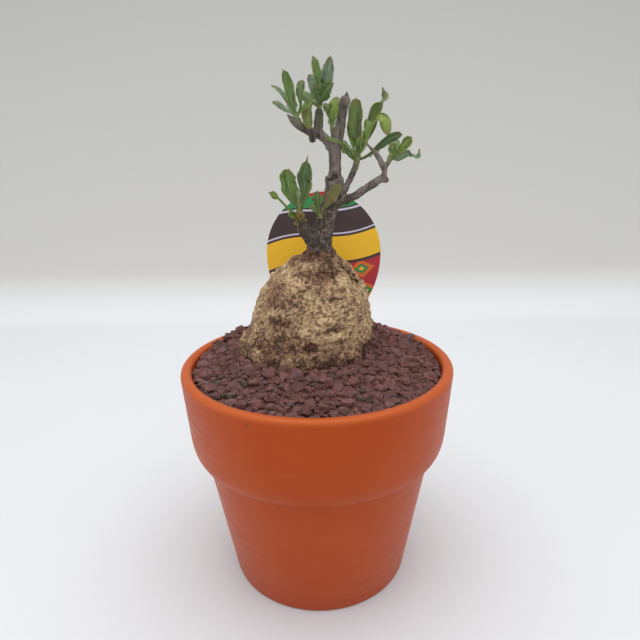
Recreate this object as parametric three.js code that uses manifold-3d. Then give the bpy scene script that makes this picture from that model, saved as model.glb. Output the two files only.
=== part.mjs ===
// A potted fockea: a warty caudex that carries a short, branching trunk with crisped leaves. It stands
// in potting mix under a top dressing of lava gravel, in a moulded pot with a collar, and a plant label
// is pushed in behind it. Millimetres, +Z up, origin on the ground under the pot's axis, -Y to the front.
import * as THREE from "three";
import { mergeVertices } from "three/addons/utils/BufferGeometryUtils.js";
import Module from "manifold-3d";

const wasm = await Module();
wasm.setup();

// ---- driving dimensions, in mm ----
const CLEARANCE = 0.3; // left between two pieces that touch
const ROUND_SIDES = 48; // of everything turned about the pot's axis

const POT = {
  height: 110.3,
  rimRadius: 65,
  lipWidth: 5.2,
  lipRound: 2.2,
  collarFoot: { radius: 62.7, z: 78.5 },
  coveCorner: { radius: 61.8, z: 67.6 }, // the curve under the collar is pulled towards this
  shoulder: { radius: 56.2, z: 67.3 },
  baseRadius: 44.9,
  baseRound: 1.7,
  wall: 3.2,
  floor: 5.5,
  foot: { width: 6, rise: 2 },
  drain: { radius: 5, ringRadius: 25, count: 4, sides: 12 },
};

const MIX_TOP = 98.3; // where the potting mix ends and the gravel begins
const ABOVE_GRAVEL = 133; // a height that no stone reaches
const GRAVEL = {
  edgeZ: 105.9, // bed at the pot's wall
  mound: 9.4, // how much higher the bed is against the caudex
  moundMiddle: -4.6, // in X
  moundFrom: 58,
  moundTo: 33,
  backMound: 5, // further rise behind the caudex, away from it
  around: 78, // points in a ring of the bed
  ringStep: 3.5,
  rough: 1.5, // the bed's points lie this far above or below its smooth surface
  stones: 32,
  stoneSize: [3.1, 4.7], // half the length of a stone that lies on top
  seed: 11,
};

// The caudex by height: where its centre is, and half its width and depth there.
const CAUDEX = [
  { z: 60.3, x: -2.0, halfX: 6, halfY: 6 },
  { z: 67.3, x: -3.0, halfX: 14, halfY: 13 },
  { z: 79.3, x: -4.0, halfX: 23, halfY: 21 },
  { z: 93.3, x: -4.8, halfX: 29, halfY: 26.5 },
  { z: 107.3, x: -5.4, halfX: 32.3, halfY: 29 },
  { z: 116.3, x: -5.0, halfX: 32.2, halfY: 29 },
  { z: 123.3, x: -4.0, halfX: 30.8, halfY: 27.8 },
  { z: 130.3, x: -2.4, halfX: 28.8, halfY: 26.3 },
  { z: 138.3, x: -1.5, halfX: 26.8, halfY: 24.6 },
  { z: 146.3, x: -0.8, halfX: 23.8, halfY: 22 },
  { z: 152.3, x: -0.1, halfX: 20.2, halfY: 19 },
  { z: 157.3, x: 0.8, halfX: 15.6, halfY: 14.8 },
  { z: 160.7, x: 1.4, halfX: 11, halfY: 10.4 },
];
const CROWN = { z: 162.3, x: 1.7, radius: 7.4 }; // the flat scar that the trunk grows from
const WARTS = { around: 51, step: 2.75, height: 1.05, fadeFrom: 106.3, fadeTo: 113.3, seed: 5 };

const LABEL = {
  width: 60,
  upper: 31.8, // from its widest line to the top
  lower: 39, // from its widest line to the stake
  stakeWidth: 9,
  stakeLength: 48,
  thickness: 0.8,
  middle: [4.3, 36.5, 155.3],
  leanBack: 4, // degrees
};

const LEAF = {
  thickness: 0.7,
  rings: 9, // of points along a long blade, two fewer along a short one
  longFrom: 13,
  petiole: 0.14, // share of the length
  drip: 0.03, // the thin tip, also a share of the length
  peak: 0.64, // where the blade is widest
  blunt: 0.6, // lower for a rounder end
  stalkHalf: 0.45,
  tipHalf: 0.3,
  wave: 0.11, // of the margin up and down, as a share of the width
};

const COLOURS = {
  pot: 0xc4602f,
  mix: 0x3a2c24,
  gravel: 0x6b4844,
  caudex: 0xa98f6c,
  wood: 0x6f625c,
  leaf: 0x55763a,
  paleLeaf: 0x7f9a45,
  label: 0x43302c,
};

// ---- helpers ----

// Random numbers from 0 to 1 that are the same on every run.
function seeded(seed) {
  let state = seed;
  return () => {
    state = (state * 1664525 + 1013904223) % 4294967296;
    return state / 4294967296;
  };
}

function smoothstep(x) {
  const t = Math.min(1, Math.max(0, x));
  return t * t * (3 - 2 * t);
}

// A closed mesh as a solid, for joining and cutting.
function solidOf(geometry) {
  const bare = geometry.clone();
  bare.deleteAttribute("normal");
  bare.deleteAttribute("uv");
  const merged = mergeVertices(bare, 1e-4);
  const index = merged.index.array;
  const kept = [];
  for (let i = 0; i < index.length; i += 3) {
    const [a, b, c] = [index[i], index[i + 1], index[i + 2]];
    if (a !== b && b !== c && a !== c) kept.push(a, b, c);
  }
  const mesh = new wasm.Mesh({
    numProp: 3,
    vertProperties: merged.attributes.position.array,
    triVerts: new Uint32Array(kept),
  });
  return new wasm.Manifold(mesh);
}

function geometryOf(solid) {
  const mesh = solid.getMesh();
  const geometry = new THREE.BufferGeometry();
  geometry.setAttribute("position", new THREE.BufferAttribute(mesh.vertProperties, 3));
  geometry.setIndex(new THREE.BufferAttribute(mesh.triVerts, 1));
  geometry.computeVertexNormals();
  return geometry;
}

// A profile of [radius, z] points turned about the Z axis.
function revolve(profile) {
  const points = profile.map(([radius, z]) => new THREE.Vector2(radius, z));
  return new THREE.LatheGeometry(points, ROUND_SIDES).rotateX(Math.PI / 2);
}

// A closed skin over rings of points, each ring counter-clockwise about the way the rings run. Each
// four-cornered patch is split along its shorter diagonal.
function skin(rings) {
  const around = rings[0].length;
  const points = rings.flat();
  const first = new THREE.Vector3();
  const last = new THREE.Vector3();
  rings[0].forEach((p) => first.addScaledVector(p, 1 / around));
  rings.at(-1).forEach((p) => last.addScaledVector(p, 1 / around));
  points.push(first, last);
  const index = [];
  const end = (rings.length - 1) * around;
  for (let j = 0; j < around; j++) {
    const next = (j + 1) % around;
    for (let i = 0; i < rings.length - 1; i++) {
      const [a, b] = [i * around + j, i * around + next];
      const [c, d] = [b + around, a + around];
      if (points[a].distanceTo(points[c]) <= points[b].distanceTo(points[d])) index.push(a, b, c, a, c, d);
      else index.push(a, b, d, b, c, d);
    }
    index.push(points.length - 2, next, j, points.length - 1, end + j, end + next);
  }
  return new THREE.BufferGeometry().setFromPoints(points).setIndex(index);
}

// A round limb through stations [x, y, z, radius], with a slightly uneven section.
function limb(stations, { sides = 7, uneven = 0.07, seed = 1 } = {}) {
  const random = seeded(seed);
  const at = stations.map(([x, y, z]) => new THREE.Vector3(x, y, z));
  let normal = null;
  const rings = at.map((centre, i) => {
    const before = at[Math.max(0, i - 1)];
    const after = at[Math.min(at.length - 1, i + 1)];
    const along = after.clone().sub(before).normalize();
    normal = normal ?? new THREE.Vector3(1, 0.3, 0.1).cross(along);
    normal.addScaledVector(along, -normal.dot(along)).normalize();
    const across = along.clone().cross(normal);
    return Array.from({ length: sides }, (_, j) => {
      const angle = (j / sides) * 2 * Math.PI;
      const radius = stations[i][3] * (1 + uneven * (2 * random() - 1));
      return centre
        .clone()
        .addScaledVector(normal, radius * Math.cos(angle))
        .addScaledVector(across, radius * Math.sin(angle));
    });
  });
  return solidOf(skin(rings));
}

// An angular lump: an icosahedron with its corners pushed in and out.
function lump([x, y, z], [halfX, halfY, halfZ], random, rough = 0.22) {
  const shape = new THREE.IcosahedronGeometry(1, 0);
  shape.deleteAttribute("normal");
  shape.deleteAttribute("uv");
  const stone = mergeVertices(shape, 1e-4);
  const corners = stone.attributes.position;
  for (let i = 0; i < corners.count; i++) {
    const scale = 1 + rough * (2 * random() - 1);
    corners.setXYZ(i, corners.getX(i) * scale, corners.getY(i) * scale, corners.getZ(i) * scale);
  }
  stone.rotateX(random() * Math.PI).rotateZ(random() * Math.PI);
  stone.scale(halfX, halfY, halfZ).rotateZ(random() * Math.PI);
  return solidOf(stone.translate(x, y, z));
}

// ---- pot, potting mix and gravel ----

function quarterArc(radius, z, round, fromDegrees, steps = 3) {
  return Array.from({ length: steps + 1 }, (_, i) => {
    const angle = THREE.MathUtils.degToRad(fromDegrees + (i * 90) / steps);
    return [radius + round * Math.cos(angle), z + round * Math.sin(angle)];
  });
}

// The inside of the pot from the lip down to the floor, taken in by gap.
function potInside(gap = 0) {
  const { rimRadius, lipWidth, height, lipRound, collarFoot, shoulder, baseRadius, wall, floor } = POT;
  const lipInside = rimRadius - lipWidth;
  return [
    [lipInside - gap, height - lipRound],
    [lipInside - 0.5 - gap, collarFoot.z + 1],
    [shoulder.radius - wall - gap, shoulder.z - 1.2],
    [baseRadius - 1.6 - gap, floor + 3 + gap],
    [baseRadius - 4.2 - gap, floor + gap],
  ];
}

function pot() {
  const { height, rimRadius, lipWidth, lipRound, collarFoot, coveCorner, shoulder } = POT;
  const { baseRadius, baseRound, foot, drain, floor } = POT;
  const lipZ = height - lipRound;
  const cove = new THREE.QuadraticBezierCurve(
    new THREE.Vector2(shoulder.radius, shoulder.z),
    new THREE.Vector2(coveCorner.radius, coveCorner.z),
    new THREE.Vector2(collarFoot.radius, collarFoot.z),
  );
  const profile = [
    [drain.radius, foot.rise],
    [baseRadius - foot.width - 1, foot.rise],
    [baseRadius - foot.width, 0],
    [baseRadius - baseRound, 0],
    [baseRadius, baseRound],
    ...cove.getPoints(4).map((p) => [p.x, p.y]),
    ...quarterArc(rimRadius - lipRound, lipZ, lipRound, 0),
    ...quarterArc(rimRadius - lipWidth + lipRound, lipZ, lipRound, 90).slice(1, -1),
    ...potInside(),
    [drain.radius, floor],
    [drain.radius, foot.rise],
  ];
  let body = solidOf(revolve(profile));
  for (let i = 0; i < drain.count; i++) {
    const angle = ((i + 0.5) / drain.count) * 2 * Math.PI;
    const hole = new THREE.CylinderGeometry(drain.radius, drain.radius, 3 * floor, drain.sides)
      .rotateX(Math.PI / 2)
      .translate(drain.ringRadius * Math.cos(angle), drain.ringRadius * Math.sin(angle), 0);
    body = body.subtract(solidOf(hole));
  }
  return body;
}

// What fills the pot from one height to another, clear of its wall.
function potFill(low, high) {
  const inside = potInside(CLEARANCE).reverse();
  const radiusAt = (z) => {
    const i = Math.max(1, inside.findIndex((p) => p[1] >= z));
    const [[r0, z0], [r1, z1]] = [inside[i - 1], inside[i]];
    return r0 + ((r1 - r0) * (z - z0)) / (z1 - z0);
  };
  const between = inside.filter(([, z]) => z > low && z < high);
  const top = Math.min(high, inside.at(-1)[1]);
  return solidOf(
    revolve([[0, low], [radiusAt(low), low], ...between, [radiusAt(top), top], [radiusAt(top), high], [0, high]]),
  );
}

// The bed's smooth surface, higher towards the caudex and more so behind it.
function bedPoint(radius, angle) {
  const { edgeZ, mound, moundMiddle, moundFrom, moundTo, backMound } = GRAVEL;
  const [x, y] = [radius * Math.cos(angle), radius * Math.sin(angle)];
  const rise = smoothstep((moundFrom - Math.hypot(x - moundMiddle, y)) / (moundFrom - moundTo));
  const behind = smoothstep(0.5 + Math.sin(angle)) * smoothstep((64 - radius) / 14);
  return new THREE.Vector3(x, y, edgeZ + mound * rise + backMound * behind * (1 - rise));
}

// The bed of small stones: rings of points from the wall inwards, pushed about and up and down.
function gravelBed(random, outer, inner) {
  const { around, ringStep, rough } = GRAVEL;
  const low = MIX_TOP + CLEARANCE;
  const foot = Array.from({ length: around }, (_, j) => bedPoint(outer, (j / around) * 2 * Math.PI).setZ(low));
  const rings = [foot];
  for (let i = 0; outer - i * ringStep > inner; i++) {
    const ring = Array.from({ length: around }, (_, j) => {
      const angle = ((j + (i % 2) / 2 + 0.5 * (random() - 0.5)) / around) * 2 * Math.PI;
      const point = bedPoint(outer - (i + 0.5 * (random() - 0.5)) * ringStep, angle);
      return point.setZ(point.z + rough * (2 * random() - 1));
    });
    rings.push(ring);
  }
  return solidOf(skin(rings));
}

// Gravel with larger stones lying on it, and the holes cut through.
function gravel(holes) {
  const random = seeded(GRAVEL.seed);
  const wallRadius = POT.rimRadius - POT.lipWidth;
  const [innermost, outermost] = [30, wallRadius - 2.5];
  const pieces = [gravelBed(random, wallRadius + 2, 24)];
  const [small, large] = GRAVEL.stoneSize;
  for (let i = 0; i < GRAVEL.stones; i++) {
    const share = (i + 0.5) / GRAVEL.stones;
    const radius = Math.sqrt(innermost ** 2 + share * (outermost ** 2 - innermost ** 2));
    const size = small + (large - small) * random();
    const { x, y, z } = bedPoint(radius, i * 2.39996 + 0.4 * (random() - 0.5));
    pieces.push(lump([x, y, z + 0.25 * size], [size, size * (0.65 + 0.25 * random()), size * 0.62], random));
  }
  const heap = wasm.Manifold.union(pieces).intersect(potFill(MIX_TOP + CLEARANCE, ABOVE_GRAVEL));
  return largest(cutBy(heap, holes));
}

function cutBy(solid, holes) {
  return holes.reduce((left, hole) => left.subtract(hole), solid);
}

// A cut can leave crumbs: only the main body is kept.
function largest(solid) {
  return solid.decompose().reduce((a, b) => (b.volume() > a.volume() ? b : a));
}

// ---- caudex ----

// Slow lumps in the caudex's outline, as a share of its radius.
function bulge(angle, z) {
  const below = z - CROWN.z;
  return (
    0.022 * Math.sin(3 * angle + below / 11 + 1.89) +
    0.018 * Math.sin(5 * angle - below / 7 + 3.72) +
    0.03 * Math.sin(2 * angle + 4.1) * smoothstep((-34 - below) / 20)
  );
}

function caudexPoint(angle, z, out = 0) {
  const i = Math.max(1, CAUDEX.findIndex((s) => s.z >= z));
  const [low, high] = [CAUDEX[i - 1], CAUDEX[i]];
  const share = (z - low.z) / (high.z - low.z);
  const mix = (key) => low[key] + (high[key] - low[key]) * share;
  const swell = 1 + bulge(angle, z);
  return new THREE.Vector3(
    mix("x") + (mix("halfX") * swell + out) * Math.cos(angle),
    (mix("halfY") * swell + out) * Math.sin(angle),
    z,
  );
}

function ring(z, count, out = () => 0, shift = 0) {
  return Array.from({ length: count }, (_, j) => {
    const angle = ((j + shift) / count) * 2 * Math.PI;
    return caudexPoint(angle, z, out(j));
  });
}

function caudex() {
  const { around, step, height, fadeFrom, fadeTo, seed } = WARTS;
  const random = seeded(seed);
  const buried = CAUDEX.filter((s) => s.z < fadeFrom).map((s) => ring(s.z, around));
  const top = CAUDEX.at(-1).z;
  const rows = Math.round((top - fadeFrom) / step);
  const shown = Array.from({ length: rows + 1 }, (_, i) => {
    const z = fadeFrom + (i / rows) * (top - fadeFrom);
    const fade = smoothstep((z - fadeFrom) / (fadeTo - fadeFrom));
    // every third point of the staggered rings stands up as a wart, the ones around it lie low
    const stands = (j) => (j + 3 * around - Math.floor(i / 2) - i) % 3 === 0 && random() < 0.85;
    const wart = (j) => fade * height * (stands(j) ? 0.6 + 0.7 * random() : -0.55 + 0.5 * random());
    return ring(z, around, wart, (i % 2) / 2 + 0.35 * (random() - 0.5));
  });
  const scar = Array.from({ length: around }, (_, j) => {
    const angle = (j / around) * 2 * Math.PI;
    const { x, z, radius } = CROWN;
    return new THREE.Vector3(x + radius * Math.cos(angle), radius * Math.sin(angle), z);
  });
  return solidOf(skin([...buried, ...shown, scar]));
}

// The plain hole that the caudex stands in.
function caudexHole() {
  const sides = 26;
  const margin = 1.3 * WARTS.height + 0.6;
  const [straightFrom, top] = [121, ABOVE_GRAVEL];
  const heights = [...CAUDEX.map((s) => s.z).filter((z) => z < straightFrom), top];
  const rings = heights.map((z) => ring(Math.min(z, straightFrom), sides, () => margin).map((p) => p.setZ(z)));
  const floor = rings[0].map((p) => p.clone().setZ(heights[0] - margin));
  return solidOf(skin([floor, ...rings]));
}

// ---- trunk and branches, as stations [x, y, z, radius] ----

const TRUNK = [
  [2.2, 0, CROWN.z + CLEARANCE, 6.1],
  [2.2, 0, 163.9, 6],
  [2.6, -0.4, 166.8, 5.3],
  [3.8, -0.6, 172.3, 4.5],
  [5.4, -0.4, 179.7, 4.3],
  [8.2, -0.2, 186.3, 4],
  [9.2, 0, 192.5, 4.3],
  [9.4, 0, 195.3, 4.2],
  [9.5, 0, 197.1, 2.9],
  [9.5, 0, 203.3, 2.6],
  [9.6, 0, 208.3, 2.9],
  [10.7, 0.3, 212.6, 2.8],
  [12.1, 0.9, 217.7, 2.15],
  [13.2, 1.1, 223.7, 1.85],
  [13.9, 1.2, 226.5, 2.35],
  [14.1, 1.3, 228.2, 2.3],
  [14.6, 1.3, 229.1, 1.1],
  [15.0, 1.3, 231.2, 0.35],
];

const BRANCHES = [
  // low spur, to the lower left shoot
  [[2.5, -1.5, 166.1, 3.6], [-1.5, -3.7, 168.9, 3.5], [-4.5, -6.0, 173.5, 3.1], [-6.0, -7.8, 178.7, 2.3]],
  // short spur on the trunk's front
  [[5.2, -1.0, 177.3, 2.0], [3.4, -4.2, 178.5, 1.6], [2.7, -5.6, 179.3, 1.3]],
  // left branch
  [
    [8.8, 0, 207.9, 2.4],
    [5.6, -1.4, 211.9, 2.1],
    [1.6, -3.0, 214.3, 2.2],
    [-1.6, -4.4, 214.9, 1.9],
    [-4.9, -6.0, 216.3, 1.6],
    [-8.1, -6.8, 219, 1.1],
    [-10.4, -7.2, 221.6, 0.5],
  ],
  // spur at its end, and the upright twig on it
  [[-6.0, -6.3, 216.9, 1.3], [-6.5, -6.8, 219.7, 1.1]],
  [[2.0, -2.9, 214.2, 1.7], [2.5, -2.5, 218.3, 1.35], [2.9, -2.0, 223.3, 1.15]],
  // spur behind the upper trunk
  [[10.0, 0.6, 210.3, 1.6], [8.7, 2.6, 213.7, 1.1], [8.5, 2.9, 214.9, 0.9]],
  // middle branch
  [[9.2, 0.4, 183.8, 2.6], [12.2, 1.8, 187.3, 2.0], [16.3, 4.0, 194.7, 1.5], [19.0, 5.0, 201.1, 1.35]],
  // right branch, with its elbow
  [
    [7.6, -0.6, 184.1, 2.8],
    [12.2, -1.4, 185.5, 2.3],
    [18.1, -3.0, 187.8, 1.9],
    [23.3, -5.0, 191.4, 1.75],
    [28.2, -6.0, 194.5, 1.8],
    [30.2, -6.4, 196.9, 1.5],
    [30.6, -6.4, 199.9, 1.3],
    [32.3, -6.0, 202.3, 1.1],
  ],
  // spur above the elbow
  [
    [30.2, -6.2, 199.1, 1.2],
    [28.8, -5.5, 202.2, 1.35],
    [27.3, -4.8, 204.9, 1.3],
    [25.4, -3.9, 206.9, 0.7],
    [23.2, -2.7, 209.4, 0.6],
  ],
];

// Knobs and old scars: centre and half sizes.
const KNOBS = [
  [[6.2, -2.0, 194.7], [1.7, 1.5, 2.0]],
  [[8.6, -3.0, 192.9], [2.6, 1.6, 1.5]],
  [[-0.2, -4.4, 211.9], [2.3, 1.5, 2.5]],
  [[6.4, -1.6, 208.7], [1.5, 1.4, 2.3]],
  [[30.9, -6.2, 194.7], [1.9, 1.5, 1.5]],
  [[12.9, 0.6, 227.5], [1.2, 1.1, 1.0]],
  [[12.6, -2.6, 187.9], [1.5, 1.3, 1.2]],
  [[-2.6, -6.4, 170.9], [1.8, 1.6, 1.5]],
  [[0.4, -3.5, 173.0], [2.9, 1.9, 2.9]],
  [[5.4, -4.0, 170.1], [2.0, 1.6, 1.9]],
  [[4.6, 3.6, 171.9], [2.2, 1.8, 2.4]],
  [[18.0, 3.4, 197.1], [1.0, 1.0, 0.9]],
];

function trunkAndBranches() {
  const random = seeded(29);
  const limbs = BRANCHES.map((stations, i) => limb(stations, { sides: 6, seed: 40 + i }));
  const knobs = KNOBS.map(([centre, half]) => lump(centre, half, random, 0.14));
  return wasm.Manifold.union([limb(TRUNK, { sides: 9, seed: 3 }), ...limbs, ...knobs]);
}

// ---- leaves ----

// Half the blade's width along its length, as a share of half its greatest width.
function bladeShape(t, { petiole, drip, peak, blunt }) {
  const u = Math.min(1, (t - petiole) / (1 - petiole - drip));
  return u <= 0 ? 0 : (u / peak) ** ((blunt * peak) / (1 - peak)) * ((1 - u) / (1 - peak)) ** blunt;
}

// One crisped blade along its path from foot to tip. roll turns its face away from the front, twist turns
// it further from the share twistFrom of its length on, and arch bows it towards its face.
function blade({ path, width, roll = 0, twist = 0, twistFrom = 0, arch = 0.06, ...outline }) {
  const line = new THREE.CatmullRomCurve3(path.map((p) => new THREE.Vector3(...p)), false, "catmullrom");
  const length = line.getLength();
  const half = LEAF.thickness / 2;
  const rings = length > LEAF.longFrom ? LEAF.rings : LEAF.rings - 2;
  const points = [];
  for (let k = 0; k < rings; k++) {
    const t = k / (rings - 1);
    const along = line.getTangent(t);
    const front = new THREE.Vector3(0, -1, 0.35);
    front.addScaledVector(along, -front.dot(along)).normalize();
    const bow = front.clone().applyAxisAngle(along, THREE.MathUtils.degToRad(roll));
    const turned = (twist * Math.max(0, t - twistFrom)) / (1 - twistFrom);
    const normal = front.clone().applyAxisAngle(along, THREE.MathUtils.degToRad(roll + turned));
    const side = along.clone().cross(normal);
    const centre = line.getPoint(t).addScaledVector(bow, length * arch * Math.sin(Math.PI * t));
    const share = bladeShape(t, { ...LEAF, ...outline });
    const least = k === rings - 1 ? LEAF.tipHalf : LEAF.stalkHalf;
    const reach = Math.max(least, (width / 2) * share);
    const lift = (k % 2 ? 1 : -1) * LEAF.wave * width * share;
    for (const face of [1, -1]) {
      for (const [across, rise] of [[-1, 0.16 * reach + lift], [0, 0], [1, 0.16 * reach - lift]]) {
        const point = centre.clone().addScaledVector(side, across * reach);
        points.push(point.addScaledVector(normal, rise + face * half));
      }
    }
  }
  return solidOf(new THREE.BufferGeometry().setFromPoints(points).setIndex(bladeIndex(rings)));
}

// Triangles of a blade whose rings hold three points on the upper face, then three on the lower. Both
// faces are split alike, so that they stay a thickness apart.
function bladeIndex(rings) {
  const index = [];
  for (let k = 0; k < rings - 1; k++) {
    const [here, next] = [6 * k, 6 * (k + 1)];
    for (const c of [0, 1]) {
      index.push(here + c, here + c + 1, next + c + 1, here + c, next + c + 1, next + c);
      index.push(here + c + 3, next + c + 4, here + c + 4, here + c + 3, next + c + 3, next + c + 4);
    }
    index.push(here + 2, here + 5, next + 5, here + 2, next + 5, next + 2);
    index.push(here, next, next + 3, here, next + 3, here + 3);
  }
  const end = 6 * (rings - 1);
  for (const c of [0, 1]) {
    index.push(c, c + 3, c + 4, c, c + 4, c + 1);
    index.push(end + c, end + c + 4, end + c + 3, end + c, end + c + 1, end + c + 4);
  }
  return index;
}

// Each shoot: its young green stem, and the leaves that grow from it.
const SHOOTS = {
  leaves_low_shoot: {
    stem: [[-6.15, -7.95, 179.2, 1.95], [-6.4, -8.2, 180.9, 1.9], [-6.6, -8.4, 183.1, 0.9]],
    leaves: [
      {
        path: [
          [-6.2, -8.2, 180.3], [-4.7, -9, 187.3], [-4, -9.6, 191.9], [-4.2, -10.2, 195.2],
          [-3.5, -10.8, 198.5], [-3, -11.4, 201.8], [-2.1, -12, 205.2],
        ],
        width: 6.1, roll: 12, arch: 0.03, drip: 0.11, peak: 0.6, blunt: 0.6,
      },
      {
        path: [
          [-6.2, -8.2, 180.3], [-7.9, -9, 185.2], [-9.7, -10.4, 190], [-10.2, -11.8, 194.6],
          [-10.3, -13.1, 197.9], [-10, -14.5, 200.1],
        ],
        width: 7, roll: -12, arch: 0.03, peak: 0.64, blunt: 0.45,
      },
      {
        path: [
          [-6.8, -8.2, 180.1], [-10.9, -10, 183.1], [-13.1, -11.4, 185.5], [-15.1, -12.8, 187.8],
          [-16.9, -14.1, 189.2], [-18.7, -15.5, 190.8],
        ],
        width: 3.4, roll: 25, arch: 0.02, petiole: 0.6, drip: 0.05, blunt: 0.5,
      },
      { path: [[-6.8, -8, 180], [-9.6, -10, 180.3], [-11.1, -12, 182]], width: 2.8, roll: 30 },
      { path: [[-6, -7.8, 180.1], [-1.4, -1.2, 194.7]], width: 5, roll: -25 },
      { path: [[-6.4, -7.8, 180.1], [-10, 4, 193.3]], width: 5.4, roll: 160 },
    ],
  },
  leaves_trunk_sprout: {
    stem: [[2.55, -5.95, 179.5, 1.1], [2.2, -6.7, 180.3, 1], [2, -7.2, 181.3, 0.6]],
    leaves: [
      { path: [[2.3, -6.7, 180.2], [11.4, -8.6, 193.7]], width: 4.7, roll: 10, arch: 0.05, peak: 0.66 },
      { path: [[2.2, -6.9, 180.3], [1.6, -7.8, 190.7]], width: 4.6, roll: -30, peak: 0.7 },
      { path: [[2.1, -6.9, 180.2], [-2.6, -13.5, 185.3]], width: 2.4, roll: 20 },
    ],
  },
  leaves_left_branch: {
    stem: [[-6.55, -6.85, 220.05, 1.1], [-6.8, -7, 221.3, 1], [-7, -7.1, 222.5, 0.6]],
    leaves: [
      {
        path: [
          [-6.7, -7.1, 221.3], [-7.6, -8, 224.3], [-8.7, -8.8, 227.6], [-9.1, -9.6, 230.6],
          [-9.9, -10.4, 233.5], [-10.6, -11.2, 235.9], [-11.4, -12, 238.1],
        ],
        width: 4, roll: 5, arch: 0.02, drip: 0.06, peak: 0.52, blunt: 0.36,
      },
      {
        path: [
          [-7, -6.9, 221.1], [-8.8, -6.8, 224], [-10.7, -6.3, 226.9], [-12.7, -5.9, 229.9],
          [-14.7, -5.5, 231.7], [-16.7, -5, 232.9],
        ],
        width: 1.9, roll: 15, arch: 0.02, peak: 0.55, blunt: 0.7,
      },
      {
        path: [
          [-7.1, -7.1, 220.9], [-8.8, -7.6, 222.2], [-10.7, -8.7, 223.1], [-12.7, -9.8, 224.5],
          [-14.2, -10.9, 225.5], [-16.1, -12, 226],
        ],
        width: 2.2, roll: 165, arch: 0, peak: 0.66, blunt: 0.42,
      },
      {
        path: [
          [-6.2, -6.9, 221.4], [-4.8, -6.6, 224.1], [-4.8, -5.7, 227.5], [-5, -4.8, 229.8],
          [-4.5, -3.9, 232.6], [-4, -3, 235.1],
        ],
        width: 3.5, roll: -8, arch: 0.03, petiole: 0.2, peak: 0.72, blunt: 0.36,
      },
      {
        path: [[-6.4, -7.2, 221], [-3.4, -7.6, 223.5], [-1.3, -8.3, 225.5], [0.4, -9, 227.3]],
        width: 3, roll: -15, arch: 0.05, blunt: 0.6,
      },
      { path: [[-6.7, -6.6, 221], [-10.6, 2.6, 230.1]], width: 4.6, roll: 165 },
    ],
  },
  leaves_crown_shoot: {
    stem: [[2.95, -1.95, 223.7, 1.15], [3.1, -1.8, 225.3, 1.05], [3.3, -1.7, 227.3, 0.7]],
    leaves: [
      {
        path: [
          [3.1, -1.8, 225.3], [3.3, -1.2, 229.3], [2.9, -0.7, 233.2], [2.4, -0.2, 236.7], [1.7, 0.4, 239.9],
          [1.1, 0.9, 242.6], [0.5, 1.4, 244.7],
        ],
        width: 3.7, roll: 8, arch: 0.02, drip: 0.02, peak: 0.5, blunt: 0.66,
      },
      {
        path: [
          [3.1, -1.8, 225.3], [4.8, -2.2, 229.2], [6, -3, 233.3], [6.6, -3.7, 237], [7.3, -4.5, 240.3],
          [7.7, -5.2, 243.7],
        ],
        width: 5.3, roll: -12, arch: 0, drip: 0.02, peak: 0.5, blunt: 0.62,
      },
      {
        path: [[3.5, -2, 224.9], [4.6, -3, 227.9], [6, -4.8, 230.2], [7.4, -6.7, 231.9], [8.9, -8.5, 233]],
        width: 6, roll: 5, arch: 0.06, drip: 0.02, peak: 0.52, blunt: 0.75,
      },
      {
        path: [
          [3, -2.2, 225.1], [1.8, -3, 227.6], [0.7, -4.5, 230.2], [0.1, -6, 233.1], [-0.4, -7.5, 235.1],
          [-1.3, -9, 236.2],
        ],
        width: 3.4, roll: 160, arch: 0, peak: 0.6, blunt: 0.5,
      },
      { path: [[3.1, -2.2, 225], [2.6, -3, 228], [2.2, -4.8, 230.9], [2, -6.5, 233.2]], width: 4.4, peak: 0.6 },
      {
        path: [
          [2.7, -2.6, 224.6], [0.1, -3.4, 226], [-1.8, -4.6, 224.2], [-2.3, -5.8, 221.2],
          [-1.9, -6.8, 218.2], [-1.3, -7.6, 215.1],
        ],
        width: 4.3, arch: 0, petiole: 0.16, peak: 0.62, blunt: 0.5,
      },
      { path: [[3.2, -1.5, 225.1], [3.6, 9.2, 236.7]], width: 5.4, roll: 175 },
      { path: [[3, -1.9, 224.7], [-5.6, 3.4, 230.9]], width: 4.2, roll: 150 },
    ],
  },
  leaves_back_shoot: {
    stem: [[8.45, 2.95, 215.3, 0.95], [8.3, 3.3, 216.7, 0.9], [8.2, 3.6, 218.1, 0.6]],
    leaves: [
      { path: [[8.3, 3.4, 216.9], [10.8, 6, 229.3]], width: 5.2, roll: -5, peak: 0.62, blunt: 0.5 },
      { path: [[8.2, 3.5, 216.9], [5.4, 8, 226.9]], width: 4.2, roll: 25, petiole: 0.25 },
      { path: [[8.3, 3.6, 216.7], [9, 14.2, 222.9]], width: 4.4, roll: 170 },
    ],
  },
  leaves_middle_branch: {
    stem: [[19.15, 5.05, 201.5, 1.45], [19.6, 5.1, 204.1, 1.6], [20, 5, 207.7, 0.8]],
    leaves: [
      {
        path: [
          [19.6, 5.1, 203.3], [19.2, 4.6, 209.1], [18.6, 4, 213.7], [18.3, 3.5, 218.6], [18.5, 2.9, 223.5],
          [18.6, 2.4, 228.6],
        ],
        width: 6.1, arch: 0.02, peak: 0.66, blunt: 0.3,
      },
      {
        path: [
          [19.3, 5, 203.1], [17.4, 4, 208.7], [16.3, 3.5, 212.9], [15.9, 3.1, 216.6], [15.7, 2.6, 219.6],
        ],
        width: 2.9, roll: 20, arch: 0.02, blunt: 0.5,
      },
      {
        path: [[19.5, 4.8, 203.1], [20.6, 3.4, 207], [20.5, 1.8, 210.3], [19.9, 0.2, 213]],
        width: 4, roll: -8, arch: 0.08, peak: 0.66,
      },
      {
        path: [
          [19.8, 5.1, 203.5], [21.6, 4.9, 208.1], [23.4, 4.3, 212.4], [25.1, 3.7, 216.5], [26.3, 3.1, 220.9],
          [27.7, 2.4, 224.5], [29.8, 1.8, 227], [30.9, 1.2, 229.5], [29.6, 0.6, 232.1],
        ],
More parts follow.
